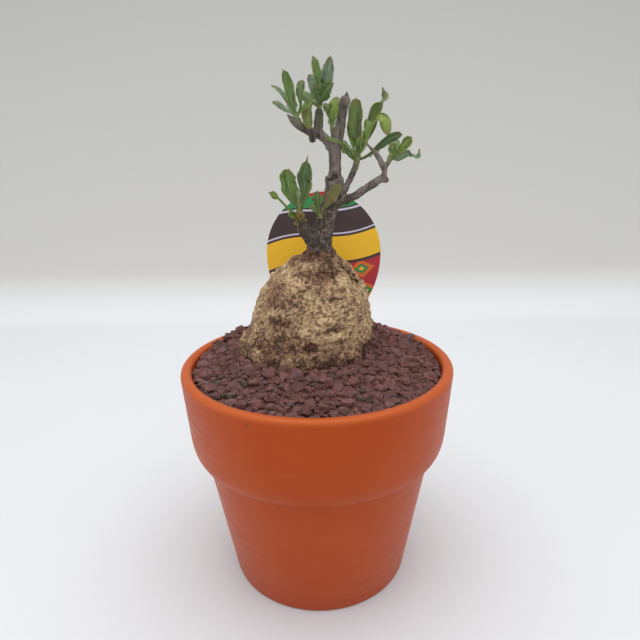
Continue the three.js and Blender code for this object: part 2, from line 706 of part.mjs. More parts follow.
        width: 4.6, roll: 10, twist: 250, twistFrom: 0.6, arch: 0, petiole: 0.2, drip: 0.01, peak: 0.4, blunt: 0.55,
      },
      {
        path: [
          [19.8, 5, 202.9], [22.9, 4, 203.8], [25.8, 2.4, 206.1], [29.1, 0.7, 208.7], [32.3, -0.9, 211.1],
          [35.5, -2.6, 212.7], [38.2, -4.2, 213],
        ],
        width: 3.7, roll: 30, arch: 0, petiole: 0.26, peak: 0.68, blunt: 0.42,
      },
      {
        path: [
          [19.2, 4.8, 202.7], [17.1, 3, 205], [14.3, -0.4, 208.1], [10.7, -4.5, 210.4], [7.2, -6, 211.5],
          [4.6, -7, 211.9],
        ],
        width: 1.8, roll: 20, arch: 0, blunt: 0.6,
      },
      {
        path: [[19.2, 4.8, 202.5], [16.2, 3, 204.1], [14.3, 0.5, 206.3], [12.7, -2.2, 208.3]],
        width: 1.3, roll: 30, arch: 0, blunt: 0.8,
      },
      { path: [[19.6, 5.4, 203.1], [23, 15, 215.7]], width: 5.6, roll: 170 },
      { path: [[19.2, 5.3, 202.9], [12.8, 13.4, 211.9]], width: 4.8, roll: 195 },
      { path: [[19.8, 5.4, 202.9], [30.4, 9, 209.7]], width: 4.8, roll: 120 },
    ],
  },
  leaves_right_spur: {
    stem: [[23.05, -2.62, 209.75, 0.6], [22.7, -2.4, 210.4, 0.6], [22.4, -2.2, 211.2, 0.45]],
    leaves: [
      {
        path: [
          [22.7, -2.4, 210.4], [23.7, -3, 213.4], [24.7, -3.7, 216.2], [26.3, -4.3, 218.5], [28.3, -5, 220],
          [30, -5.7, 218.6], [30.8, -6.3, 215.6], [31.5, -7, 212.3],
        ],
        width: 4.7, arch: 0, petiole: 0.46, peak: 0.58, blunt: 0.45,
      },
      {
        path: [[22.7, -2.4, 210.4], [22.9, -1.5, 213.9], [23.3, -0.5, 216.8], [23.1, 0.5, 219.8]],
        width: 3.4, roll: 15, arch: 0.03, blunt: 0.6,
      },
    ],
  },
  leaves_right_branch: {
    stem: [[32.55, -5.95, 202.9, 1.2], [32.9, -5.9, 203.8, 1.35], [33.3, -5.9, 205.5, 0.8]],
    leaves: [
      {
        path: [
          [33, -6, 203.5], [35.8, -7.5, 205.5], [38.1, -9, 208.1], [39.8, -10.5, 210.4], [40.7, -12, 211.8],
        ],
        width: 4.1, roll: -5, arch: 0.04, peak: 0.68, blunt: 0.4,
      },
      {
        path: [[32.8, -6.2, 203.5], [33.7, -8, 205.4], [32.8, -10.7, 207.6], [32.3, -13.4, 209.5]],
        width: 3.9, roll: 10, arch: 0.03, peak: 0.68, blunt: 0.32,
      },
      {
        path: [
          [33, -6, 203.3], [35.4, -7, 203.1], [37.6, -7.5, 204.3], [39.8, -8, 205.6], [42, -8.6, 204.8],
          [44.3, -9.1, 204.4], [44.4, -9.6, 207],
        ],
        width: 2.8, roll: 30, twist: 250, twistFrom: 0.52, arch: 0, petiole: 0.12, drip: 0.01, peak: 0.42, blunt: 0.5,
      },
      { path: [[32.9, -5.7, 203.4], [36.6, 4, 212.3]], width: 5, roll: 170 },
      { path: [[32.7, -5.7, 203.3], [38.4, 5.4, 207.9]], width: 4.2, roll: 190 },
    ],
  },
};

function leafyShoot({ stem, leaves }) {
  return wasm.Manifold.union([limb(stem, { sides: 6, seed: 9 }), ...leaves.map((leaf) => blade(leaf))]);
}

// ---- plant label ----

// The label's outline in its own plane, x across and y up from its widest line, grown by margin.
function labelOutline(margin = 0) {
  const halfStake = LABEL.stakeWidth / 2 + margin;
  const halfWidth = LABEL.width / 2 + margin;
  const outline = new THREE.Shape();
  outline.moveTo(0, -LABEL.lower - LABEL.stakeLength - 2 * margin);
  outline.lineTo(halfStake, -LABEL.lower - LABEL.stakeLength * 0.7);
  outline.lineTo(halfStake, -LABEL.lower - 2);
  outline.quadraticCurveTo(halfStake, -LABEL.lower + 3, halfStake + 3, -LABEL.lower + 5.5);
  const eggSteps = 26;
  for (let i = 1; i < eggSteps; i++) {
    const angle = THREE.MathUtils.lerp(-64, 244, i / eggSteps);
    const [x, y] = [Math.cos(THREE.MathUtils.degToRad(angle)), Math.sin(THREE.MathUtils.degToRad(angle))];
    outline.lineTo(halfWidth * x, (y > 0 ? LABEL.upper + margin : LABEL.lower + margin) * y);
  }
  outline.lineTo(-halfStake - 3, -LABEL.lower + 5.5);
  outline.quadraticCurveTo(-halfStake, -LABEL.lower + 3, -halfStake, -LABEL.lower - 2);
  outline.lineTo(-halfStake, -LABEL.lower - LABEL.stakeLength * 0.7);
  return outline;
}

function labelSolid(margin = 0) {
  const depth = LABEL.thickness + 2 * margin;
  const card = new THREE.ExtrudeGeometry(labelOutline(margin), { depth, bevelEnabled: false, curveSegments: 3 });
  card.translate(0, 0, -depth / 2);
  card.rotateX(THREE.MathUtils.degToRad(90 - LABEL.leanBack));
  return solidOf(card.translate(...LABEL.middle));
}

// ---- the whole plant ----

const fockea = new THREE.Group();

function place(name, solid, colour, roughness = 0.8) {
  const material = new THREE.MeshStandardMaterial({ color: colour, roughness, metalness: 0 });
  const mesh = new THREE.Mesh(geometryOf(solid), material);
  mesh.name = name;
  fockea.add(mesh);
}

const holes = [caudexHole(), labelSolid(CLEARANCE + 0.1)];
place("pot", pot(), COLOURS.pot, 0.5);
place("potting_mix", cutBy(potFill(POT.floor + CLEARANCE, MIX_TOP), holes), COLOURS.mix, 0.95);
place("lava_gravel", gravel(holes), COLOURS.gravel, 0.95);
place("caudex", caudex(), COLOURS.caudex, 0.9);
place("trunk_and_branches", trunkAndBranches(), COLOURS.wood, 0.85);
for (const [name, shoot] of Object.entries(SHOOTS)) {
  place(name, leafyShoot(shoot), name === "leaves_right_spur" ? COLOURS.paleLeaf : COLOURS.leaf, 0.55);
}
place("plant_label", labelSolid(), COLOURS.label, 0.4);

export default fockea;
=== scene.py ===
"""A potted fockea: a warty caudex with a short branching trunk and crisped leaves, under lava gravel.

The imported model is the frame. The operators below build each piece over its node, in metres.
"""

import math
import random
from contextlib import contextmanager
from typing import NamedTuple

import bmesh
import bpy
from bpy.props import FloatProperty, FloatVectorProperty, IntProperty, PointerProperty
from mathutils import Matrix, Quaternion, Vector, noise


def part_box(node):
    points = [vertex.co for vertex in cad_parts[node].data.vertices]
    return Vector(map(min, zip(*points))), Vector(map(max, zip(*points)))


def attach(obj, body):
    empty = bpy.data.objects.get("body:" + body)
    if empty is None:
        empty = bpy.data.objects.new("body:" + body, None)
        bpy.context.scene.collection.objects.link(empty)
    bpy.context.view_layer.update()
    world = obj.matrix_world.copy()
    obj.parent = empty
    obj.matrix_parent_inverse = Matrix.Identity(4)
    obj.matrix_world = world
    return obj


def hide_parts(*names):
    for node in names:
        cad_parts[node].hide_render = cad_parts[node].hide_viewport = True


bl_info = {
    "name": "Potted Fockea",
    "version": (1, 0, 0),
    "blender": (4, 5, 0),
    "location": "View3D > Sidebar > Fockea",
    "description": "Builds a caudex plant with lava gravel, its pot and its label",
    "category": "Object",
}

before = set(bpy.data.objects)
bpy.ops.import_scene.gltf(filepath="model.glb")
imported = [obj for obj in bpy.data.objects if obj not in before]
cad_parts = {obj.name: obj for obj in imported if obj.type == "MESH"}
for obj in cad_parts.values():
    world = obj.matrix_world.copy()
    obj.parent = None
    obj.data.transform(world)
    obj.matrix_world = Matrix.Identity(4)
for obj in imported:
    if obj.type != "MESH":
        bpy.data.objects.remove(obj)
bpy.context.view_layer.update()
POT_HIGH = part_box("pot")[1]
MM = 0.001
# corners closer together than this, in metres, are joined
SAME_PLACE = 1e-6


# ---- helpers ----


def linear(hex_colour):
    """An sRGB hex value as linear red, green, blue and alpha."""
    channels = [int(hex_colour[i : i + 2], 16) / 255 for i in (1, 3, 5)]
    return (*(c / 12.92 if c <= 0.04045 else ((c + 0.055) / 1.055) ** 2.4 for c in channels), 1.0)


def smoothstep(low, high, x):
    t = min(1.0, max(0.0, (x - low) / (high - low)))
    return t * t * (3 - 2 * t)


def activate(*pieces):
    """Selects these objects alone, the first one active."""
    bpy.ops.object.select_all(action="DESELECT")
    for piece in pieces:
        piece.select_set(True)
    bpy.context.view_layer.objects.active = pieces[0]


@contextmanager
def editing(piece):
    """Edit mode on one piece, for as long as the block lasts."""
    activate(piece)
    bpy.ops.object.mode_set(mode="EDIT")
    yield bmesh.from_edit_mesh(piece.data)
    bpy.ops.object.mode_set(mode="OBJECT")


def select_edges(piece, mesh, inside):
    """Selects the edges in edit mode that have both ends inside."""
    bpy.ops.mesh.select_all(action="DESELECT")
    for edge in mesh.edges:
        if all(inside(corner.co) for corner in edge.verts):
            edge.select = True
    bmesh.update_edit_mesh(piece.data)
    bpy.context.tool_settings.mesh_select_mode = (False, True, False)


def add_object(name, add, **settings):
    """Calls an operator that adds an object, and names that object."""
    bpy.ops.object.select_all(action="DESELECT")
    add(**settings)
    piece = bpy.context.object
    piece.name = name
    return piece


def modify(piece, kind, **settings):
    """Adds a modifier to a piece and applies it."""
    activate(piece)
    modifier = piece.modifiers.new(kind, kind)
    for field, value in settings.items():
        setattr(modifier, field, value)
    bpy.ops.object.modifier_apply(modifier=modifier.name)


def settle(piece):
    """Puts an object's place, turn and size into its mesh."""
    activate(piece)
    bpy.ops.object.transform_apply(location=True, rotation=True, scale=True)


def shade_smooth(piece, sharp_from=None):
    """Shades a piece smooth, except at edges sharper than an angle in degrees."""
    activate(piece)
    if sharp_from:
        bpy.ops.object.shade_smooth_by_angle(angle=math.radians(sharp_from))
    else:
        bpy.ops.object.shade_smooth()


def finish_piece(piece, slot, *nodes, material=None):
    """A finished piece rides on the plant and stands for its nodes, which it hides. The slot is not used."""
    if material:
        piece.data.materials.append(material)
    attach(piece, "root")
    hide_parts(*nodes)


def copy_of(node, name):
    """A piece that starts from a node's shape, with its loose triangles joined."""
    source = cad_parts[node]
    piece = source.copy()
    piece.data = source.data.copy()
    piece.name = name
    piece.parent = None
    for key in list(piece.keys()):
        del piece[key]
    bpy.context.scene.collection.objects.link(piece)
    piece.data.materials.clear()
    with editing(piece):
        bpy.ops.mesh.customdata_custom_splitnormals_clear()
        bpy.ops.mesh.select_all(action="SELECT")
        bpy.ops.mesh.remove_doubles(threshold=SAME_PLACE)
    return piece


def places_of(piece):
    """Where the piece's points are."""
    return [corner.co.copy() for corner in piece.data.vertices]


def weigh(piece, name, weights):
    """A vertex group with one weight for each point."""
    group = piece.vertex_groups.new(name=name)
    for index, weight in enumerate(weights):
        group.add([index], weight, "REPLACE")


def store(piece, name, values):
    """An attribute with one number for each point, for the material to read."""
    attribute = piece.data.attributes.new(name, "FLOAT", "POINT")
    attribute.data.foreach_set("value", values)


def texture(name, kind, size, **settings):
    """A procedural texture for a Displace modifier, with its grain size in metres."""
    made = bpy.data.textures.new(name, kind)
    made.noise_scale = size
    for field, value in settings.items():
        setattr(made, field, value)
    return made


def turned(name, profile, segments):
    """A wall turned about the Z axis, from [radius, z] stations in metres that end where they began."""
    radius, z = profile[0]
    add = bpy.ops.mesh.primitive_circle_add
    piece = add_object(name, add, vertices=segments, radius=radius, location=(0, 0, z))
    settle(piece)
    with editing(piece):
        for (r0, z0), (r1, z1) in zip(profile, profile[1:]):
            bpy.ops.mesh.extrude_edges_move(TRANSFORM_OT_translate={"value": (0, 0, z1 - z0)})
            bpy.ops.transform.resize(value=(r1 / r0, r1 / r0, 1), center_override=(0, 0, z1))
        bpy.ops.mesh.select_all(action="SELECT")
        bpy.ops.mesh.remove_doubles(threshold=SAME_PLACE)
        bpy.ops.mesh.normals_make_consistent(inside=False)
    return piece


def tube(name, stations):
    """A round limb through [x, y, z, radius] stations in millimetres, as a mesh."""
    piece = add_object(name, bpy.ops.curve.primitive_bezier_curve_add)
    curve = piece.data
    curve.dimensions = "3D"
    curve.bevel_depth = MM
    curve.bevel_resolution = 4
    curve.resolution_u = 6
    curve.use_fill_caps = True
    points = curve.splines[0].bezier_points
    points.add(len(stations) - 2)
    for point, (x, y, z, radius) in zip(points, stations):
        point.co = Vector((x, y, z)) * MM
        point.radius = radius
        point.handle_left_type = point.handle_right_type = "AUTO"
    bpy.ops.object.convert(target="MESH")
    return bpy.context.object


class Paint:
    """A material in the making. The methods that add a node return its output."""

    def __init__(self, name, roughness, ior=1.5):
        self.material = bpy.data.materials.new(name)
        self.material.use_nodes = True
        self.tree = self.material.node_tree
        self.shader = self.tree.nodes["Principled BSDF"]
        self.feed(self.shader, {"Roughness": roughness, "IOR": ior})
        self.place = self.add("TexCoord", {}, "Object")

    def feed(self, node, inputs):
        """Fills a node's inputs, each with a value or with another node's output."""
        for key, value in inputs.items():
            if isinstance(value, bpy.types.NodeSocket):
                self.tree.links.new(value, node.inputs[key])
            else:
                node.inputs[key].default_value = value

    def add(self, kind, inputs, output=0, **settings):
        node = self.tree.nodes.new(f"ShaderNode{kind}")
        for field, value in settings.items():
            setattr(node, field, value)
        self.feed(node, inputs)
        return node.outputs[output]

    def attribute(self, name, output="Fac"):
        return self.add("Attribute", {}, output, attribute_name=name)

    def axis(self, letter, place=None):
        return self.add("SeparateXYZ", {0: place or self.place}, letter)

    def scaled(self, x, y, z, place=None):
        return self.add("Mapping", {"Vector": place or self.place, "Scale": (x, y, z)})

    def noise(self, grain, detail, place=None, roughness=0.5):
        """Clouds, with a grain size in the units of their place."""
        inputs = {"Vector": place or self.place, "Scale": 1 / grain, "Detail": detail, "Roughness": roughness}
        return self.add("TexNoise", inputs)

    def cells(self, size):
        """The distance from the middle of the nearest cell."""
        return self.add("TexVoronoi", {"Vector": self.place, "Scale": 1 / size})

    def math(self, operation, *values):
        return self.add("Math", dict(enumerate(values)), operation=operation)

    def remap(self, value, low, high, start=0.0, end=1.0):
        """Runs from start to end while the value runs from low to high."""
        return self.add("MapRange", {0: value, 1: low, 2: high, 3: start, 4: end})

    def mix(self, share, under, over, blend="MIX"):
        return self.add("Mix", {0: share, 6: under, 7: over}, 2, data_type="RGBA", blend_type=blend)

    def ramp(self, value, *stops):
        """A colour that runs through [value, colour] stops."""
        colour_out = self.add("ValToRGB", {0: value})
        elements = colour_out.node.color_ramp.elements
        for i, (place, shade) in enumerate(stops):
            element = elements[i] if i < len(elements) else elements.new(place)
            element.position = place
            element.color = shade
        return colour_out

    def surface(self, base, height=None, strength=1.0, depth=MM, invert=False):
        """The finished material, from its colour and the height of its fine relief."""
        self.feed(self.shader, {"Base Color": base})
        if height:
            inputs = {"Height": height, "Strength": strength, "Distance": depth}
            self.feed(self.shader, {"Normal": self.add("Bump", inputs, invert=invert)})
        return self.material


# ---- sizes and colours that a user would change ----


def length(name, description, millimetres):
    settings = {"default": millimetres * MM, "unit": "LENGTH", "precision": 4}
    return FloatProperty(name=name, description=description, **settings)


def colour(name, description, hex_colour):
    settings = {"default": linear(hex_colour), "size": 4, "subtype": "COLOR", "min": 0, "max": 1}
    return FloatVectorProperty(name=name, description=description, **settings)


class FockeaPotSettings(bpy.types.PropertyGroup):
    lip_width: length("Lip width", "Across the rounded lip at the top", 5.2)
    lip_round: length("Lip rounding", "Radius of the lip's two edges", 2.2)
    collar_foot_radius: length("Collar foot radius", "Outside of the collar at its lower end", 62.7)
    collar_foot_z: length("Collar foot height", "Where the collar starts to turn in", 78.5)
    cove_radius: length("Cove radius", "Radius that the curve under the collar is pulled to", 61.8)
    cove_z: length("Cove height", "Height that the curve under the collar is pulled to", 67.6)
    shoulder_radius: length("Shoulder radius", "Outside of the body under the collar", 56.2)
    shoulder_z: length("Shoulder height", "Where the collar meets the body", 67.3)
    base_radius: length("Base radius", "Outside of the body at the ground", 44.9)
    wall: length("Wall", "Thickness of the body's wall", 3.2)
    floor: length("Floor", "Height of the inside floor", 5.5)
    foot_width: length("Foot ring width", "Width of the ring that the pot stands on", 6)
    foot_rise: length("Foot rise", "How far the underside lies above the ground", 2)
    drain_radius: length("Drain radius", "Radius of the drainage holes", 5)
    drain_ring: length("Drain ring", "How far the outer holes lie from the middle", 25)
    body: colour("Pot colour", "Pigment of the moulded plastic", "#AA3F0C")
    worn: colour("Worn colour", "Paler, rubbed plastic", "#B9531F")
    # painted sheen: this paler colour on the top of the lip stands in for the light that it catches from
    # above
    lip: colour("Lip colour", "Plastic rubbed paler on the lip", "#C2622F")
    scuff: colour("Scuff", "A dark scuff on the collar", "#5A2A16")


class FockeaGravelSettings(bpy.types.PropertyGroup):
    stones: IntProperty(name="Stones", description="Number of lava stones", default=1350, min=100, max=2000)
    small: length("Smallest stone", "Half the length of the smallest stones", 1.2)
    large: length("Largest stone", "Half the length of the largest stones", 3.9)
    seed: IntProperty(name="Seed", description="Draw of the stones", default=4, min=0)
    red: colour("Red lava", "Most of the stones", "#714843")
    dark: colour("Dark lava", "Shaded and burnt stones", "#5F403A")
    violet: colour("Violet lava", "Dusty violet stones", "#6F504F")
    olive: colour("Olive lava", "A few weathered stones", "#544C42")


class FockeaCaudexSettings(bpy.types.PropertyGroup):
    wart_scale: FloatProperty(name="Wart scale", description="Above 1, more and smaller warts", default=1.0)
    wart_height: length("Wart height", "How far a wart stands out", 1.6)
    lump: length("Lump size", "Spacing of the larger lumps", 7.5)
    lump_height: length("Lump height", "How far a lump stands out", 1.6)
    seed: IntProperty(name="Seed", description="Draw of the warts", default=1, min=1)
    # painted highlight and shade: the crest colour goes on the wart tops as highlight, the crack and pit
    # colours into the cracks as shade
    crest: colour("Wart tops", "Dry cork on top of the warts", "#C9AF89")
    cork: colour("Cork", "Skin between tops and cracks", "#A68963")
    crack: colour("Cracks", "Sides of the cracks between the warts", "#876C54")
    pit: colour("Pits", "Bottoms of the deepest cracks", "#604B38")
    # painted shade as well: this browner colour also darkens the hollows, the creases, the ring round the
    # trunk's foot and the skin near the gravel
    shade: colour("Weathered skin", "Browner skin on the crown and the left side", "#B0959A")


class FockeaWoodSettings(bpy.types.PropertyGroup):
    flare: length("Foot flare", "How far the trunk's foot spreads into the caudex", 0.8)
    bark: colour("Bark", "Young mauve-grey bark", "#6C605B")
    pale: colour("Pale bark", "Raised bark", "#887C75")
    groove: colour("Grooves", "Cracks and leaf scars", "#332923")
    old: colour("Old bark", "Brown bark low on the trunk", "#4A3C2C")
    lichen: colour("Lichen", "Small pale spots low on the trunk", "#8E8768")
    fresh: colour("Green wood", "Young wood at the ends of the twigs", "#5A6238")
    dead: colour("Dead wood", "Pinkish wood at the cut tip", "#715D56")


class FockeaLeafSettings(bpy.types.PropertyGroup):
    thickness: length("Leaf thickness", "At the midrib", 0.8)
    wave: FloatProperty(name="Wave", description="Waves of the margin, as a share of the width", default=0.11)
    seed: IntProperty(name="Seed", description="Draw of the waves", default=3, min=0)
    green: colour("Leaf green", "Grown leaves", "#5D7733")
    dark: colour("Dark green", "Old leaves", "#41552E")
    young: colour("Young green", "Young leaves", "#83953C")
    rib: colour("Midrib", "Midrib and stalk", "#7F9554")
    under: colour("Underside", "Paler lower face", "#7B8D68")
    # painted sheen: this blue-grey stands in for the sheen that some leaves catch
    bloom: colour("Bloom", "Blue-grey wax on some leaves", "#8C9D90")
    dry: colour("Dry leaf", "Browned tips and streaks", "#7D6636")


class FockeaLabelSettings(bpy.types.PropertyGroup):
    width: length("Label width", "Across its widest line", 60)
    upper: length("Upper height", "From the widest line to the top", 31.8)
    lower: length("Lower height", "From the widest line to the stake", 39)
    stake_width: length("Stake width", "Across the stake", 9)
    stake_length: length("Stake length", "Down from the label", 48)
    thickness: length("Label thickness", "Thickness of the card", 0.8)
    ground: colour("Ground", "Dark printed ground", "#3E2C2A")
    amber: colour("Amber", "Wide printed band", "#F2BB1A")
    green: colour("Green", "Printed panel", "#1E8A4E")
    red: colour("Red", "Printed stripe", "#B5222F")
    orange: colour("Orange", "Printed lozenges", "#DD6A1C")
    lilac: colour("Lilac", "Thin printed lines", "#CFC6D6")


# ---- materials ----

# the scuff on the collar: its middle and its half sizes
SCUFF_MIDDLE = (-27.2 * MM, -60 * MM, 106.3 * MM)
SCUFF_HALF = (1.5 * MM, 4 * MM, 2 * MM)
# from low to high on the label, in millimetres
LOZENGE_BAND = (-26, -5.5)


def terracotta_polypropylene(s):
    """Injection-moulded polypropylene with terracotta pigment: satin, smooth, a little mottled and rubbed,
    with a painted sheen on the lip.
    """
    paint = Paint("Terracotta polypropylene, moulded satin", 0.45, 1.42)
    # pigment drifts over about 30 mm, faintly
    drift = paint.remap(paint.noise(30 * MM, 3), 0.35, 0.75, 0, 0.35)
    # rub marks a few millimetres long run round the pot
    rubs = paint.noise(1, 5, paint.scaled(60, 60, 420))
    worn = paint.remap(rubs, 0.56, 0.78, 0, 0.4)
    pigment = paint.mix(paint.math("MAXIMUM", drift, worn), s.body, s.worn)
    # painted sheen: the top of the lip is painted paler, as the light that it catches from above
    lip_sheened = paint.mix(paint.remap(paint.axis("Z"), 107.5 * MM, 109.5 * MM, 0, 0.5), pigment, s.lip)
    # one upright scuff high on the collar
    inputs = {"Vector": paint.place, "Location": SCUFF_MIDDLE, "Scale": SCUFF_HALF}
    aside = paint.add("Mapping", inputs, vector_type="TEXTURE")
    away = paint.add("VectorMath", {0: aside}, "Value", operation="LENGTH")
    scuffed = paint.mix(paint.remap(away, 1, 0.2, 0, 0.45), lip_sheened, s.scuff)
    gloss = paint.remap(rubs, 0.3, 0.8, 0.36, 0.52)
    paint.feed(paint.shader, {"Specular Tint": linear("#FFD4B4"), "Roughness": gloss})
    return paint.surface(scuffed, paint.noise(0.9 * MM, 2), 0.12, 0.1 * MM)


def lava_stone(s):
    """Red scoria, crushed and sieved: matte, full of burst gas bubbles, each stone its own tint."""
    paint = Paint("Red lava scoria, crushed", 0.93)
    tint = paint.attribute("tint")
    stone = paint.ramp(tint, (0, s.olive), (0.06, s.dark), (0.4, s.red), (0.75, s.violet), (1, s.red))
    dust = paint.remap(paint.noise(1.5 * MM, 4), 0.35, 0.7, 0.9, 1.1)
    # the bed is darker and paler in patches about 10 mm wide
    drift = paint.remap(paint.noise(9 * MM, 2), 0.34, 0.66, 0.78, 1.16)
    lit = paint.mix(1, stone, paint.math("MULTIPLY", dust, drift), "MULTIPLY")
    # burst bubbles about half a millimetre across, painted darker inside as shade
    pit = paint.remap(paint.cells(0.9 * MM), 0.1, 0.42)
    pit_shaded = paint.mix(1, lit, paint.remap(pit, 0, 1, 0.88, 1), "MULTIPLY")
    return paint.surface(pit_shaded, pit, 0.6, 0.4 * MM)


def potting_mix():
    """Peat and bark crumbs, moist: dark, matte and fibrous."""
    paint = Paint("Peat and bark potting mix", 0.95, 1.4)
    crumbs = paint.cells(3 * MM)
    # painted shade: the gaps between the crumbs are darker than the crumbs
    tone = paint.ramp(crumbs, (0.1, linear("#4A3829")), (0.8, linear("#1D1511")))
    return paint.surface(tone, crumbs, invert=True)


def caudex_cork(s):
    """Dry cork of a fockea caudex: matte warts, painted pale on top as highlight, with painted shade in the
    dark cracks between them.
    """
    paint = Paint("Caudex cork, warty", 0.88, 1.45)
    # the cork's own grain is half a millimetre
    grain = paint.noise(0.9 * MM, 4)
    height = paint.math("ADD", paint.attribute("relief"), paint.remap(grain, 0, 1, -0.28, 0.28))
    # the marks and patches about 12 mm wide are darker, browner and more cracked, or paler; the darker tone
    # is partly browner skin and partly painted shade in hollows, creases, round the trunk's foot and near the
    # gravel
    patch = paint.remap(paint.noise(12 * MM, 2), 0.3, 0.7, 0.11, -0.11)
    shift = paint.math("ADD", paint.attribute("tone"), patch)
    shown = paint.math("ADD", height, paint.remap(shift, 0, 1, -0.26, 0.26))
    # painted shade and highlight: the lowest relief takes the dark pit and crack colours, the highest the
    # pale crest colour
    skin = paint.ramp(shown, (0, s.pit), (0.25, s.crack), (0.58, s.cork), (1, s.crest))
    # the darker, browner colour, for the browner skin and for the painted shade alike
    weathered = paint.mix(1, skin, s.shade, "MULTIPLY")
    browned_and_shaded = paint.mix(paint.remap(shift, 0.5, 0), skin, weathered)
    tinted = paint.mix(paint.remap(shift, 0.5, 1, 0, 0.3), browned_and_shaded, s.crest)
    return paint.surface(tinted, grain, 0.6, 0.4 * MM)


def young_bark(s):
    """Thin bark: matte, streaked along the trunk, brown with lichen low down, pinkish on the dead tip."""
    paint = Paint("Young fockea bark", 0.78, 1.45)
    # streaks a millimetre wide and 8 mm long, broken by blotches of 4 mm
    streaks = paint.noise(1, 4, paint.scaled(900, 900, 125))
    blotches = paint.noise(4 * MM, 4)
    grain = paint.add("Mix", {0: 0.4, 2: streaks, 3: blotches})
    bark = paint.ramp(grain, (0.34, s.groove), (0.46, s.bark), (0.66, s.pale))
    # old bark: flakes of a millimetre and a half, dark between them, with lichen spots
    flakes = paint.noise(2.4 * MM, 5, roughness=0.7)
    old = paint.ramp(flakes, (0.42, s.groove), (0.51, s.old), (0.58, s.bark), (0.67, s.lichen))
    ragged = paint.math("MULTIPLY_ADD", blotches, 20 * MM, paint.axis("Z"))
    aged = paint.mix(paint.remap(ragged, 204 * MM, 196 * MM, 0, 0.9), bark, old)
    patchy = paint.remap(blotches, 0.35, 0.6, 0.3, 1)
    green = paint.mix(paint.math("MULTIPLY", patchy, paint.attribute("fresh")), aged, s.fresh)
    tone = paint.attribute("tone")
    tipped = paint.mix(paint.remap(tone, 0.6, 1, 0, 0.8), green, s.dead)
    # darker where the marks say, which includes the painted shade in the trunk's hollows
    darkened = paint.mix(1, tipped, paint.remap(tone, 0, 0.5, 0.3, 1), "MULTIPLY")
    return paint.surface(darkened, flakes, 0.6, 0.5 * MM)


def leaf_blade(s, underside=False):
    """Fockea leaf: leathery and satin, with a pale midrib and fine side veins. The lower face is paler."""
    face = "underside" if underside else "upper face"
    paint = Paint(f"Fockea leaf, {face}", 0.5 if underside else 0.4, 1.45)
    tone = paint.attribute("tone")
    blade_green = paint.ramp(tone, (0, s.dark), (0.45, s.green), (1, s.young))
    # streaks that run along the blade, other ones on each leaf
    flat = paint.add("TexCoord", {}, "UV")
    shifted = paint.add("VectorMath", {0: flat, 1: paint.attribute("tone", "Vector")}, operation="ADD")
    streaks = paint.noise(1, 3, paint.scaled(7, 2.4, 30, shifted))
    mottled = paint.mix(1, blade_green, paint.remap(streaks, 0.3, 0.7, 0.38, 1.6), "MULTIPLY")
    # across is 0 at the midrib and 0.5 at the margin, along is 0 at the foot and 1 at the tip
    across = paint.math("ABSOLUTE", paint.math("SUBTRACT", paint.axis("X", flat), 0.5))
    along = paint.axis("Y", flat)
    rib = paint.remap(across, 0.02, 0.07, 1, 0)
    # side veins leave the midrib forwards, nine on each side
    forward = paint.math("MULTIPLY_ADD", across, -1.1, along)
    wave = paint.math("SINE", paint.math("MULTIPLY", forward, 9 * 2 * math.pi))
    lines = paint.math("MAXIMUM", rib, paint.remap(wave, 0.75, 1, 0, 0.3))
    # the midrib shows most where the light streaks are
    veined = paint.mix(paint.math("MULTIPLY", lines, streaks), mottled, s.rib)
    pale = paint.mix(0.6 if underside else 0.0, veined, s.under)
    # painted highlight: the crisped margin is painted paler, as the light that its waves catch
    margin_highlighted = paint.mix(paint.remap(across, 0.42, 0.5, 0, 0.4), pale, s.young)
    # painted blue-grey sheen in streaks, and dry streaks, on the leaves that have them
    sheen_streaks = paint.remap(streaks, 0.35, 0.6, 0.3, 1)
    bloomed = paint.mix(paint.math("MULTIPLY", sheen_streaks, paint.attribute("bloom")), margin_highlighted, s.bloom)
    dull = paint.remap(streaks, 0.62, 0.4, 0.2, 1)
    dried = paint.mix(paint.math("MULTIPLY", dull, paint.attribute("dry")), bloomed, s.dry)
    # dry tips, up to an eighth of the blade
    end = paint.math("MULTIPLY_ADD", streaks, 0.3, along)
    tipped = paint.mix(paint.remap(end, 1, 1.16, 0, 0.8), dried, s.dry)
    return paint.surface(tipped, lines, 0.4, 0.2 * MM, invert=not underside)


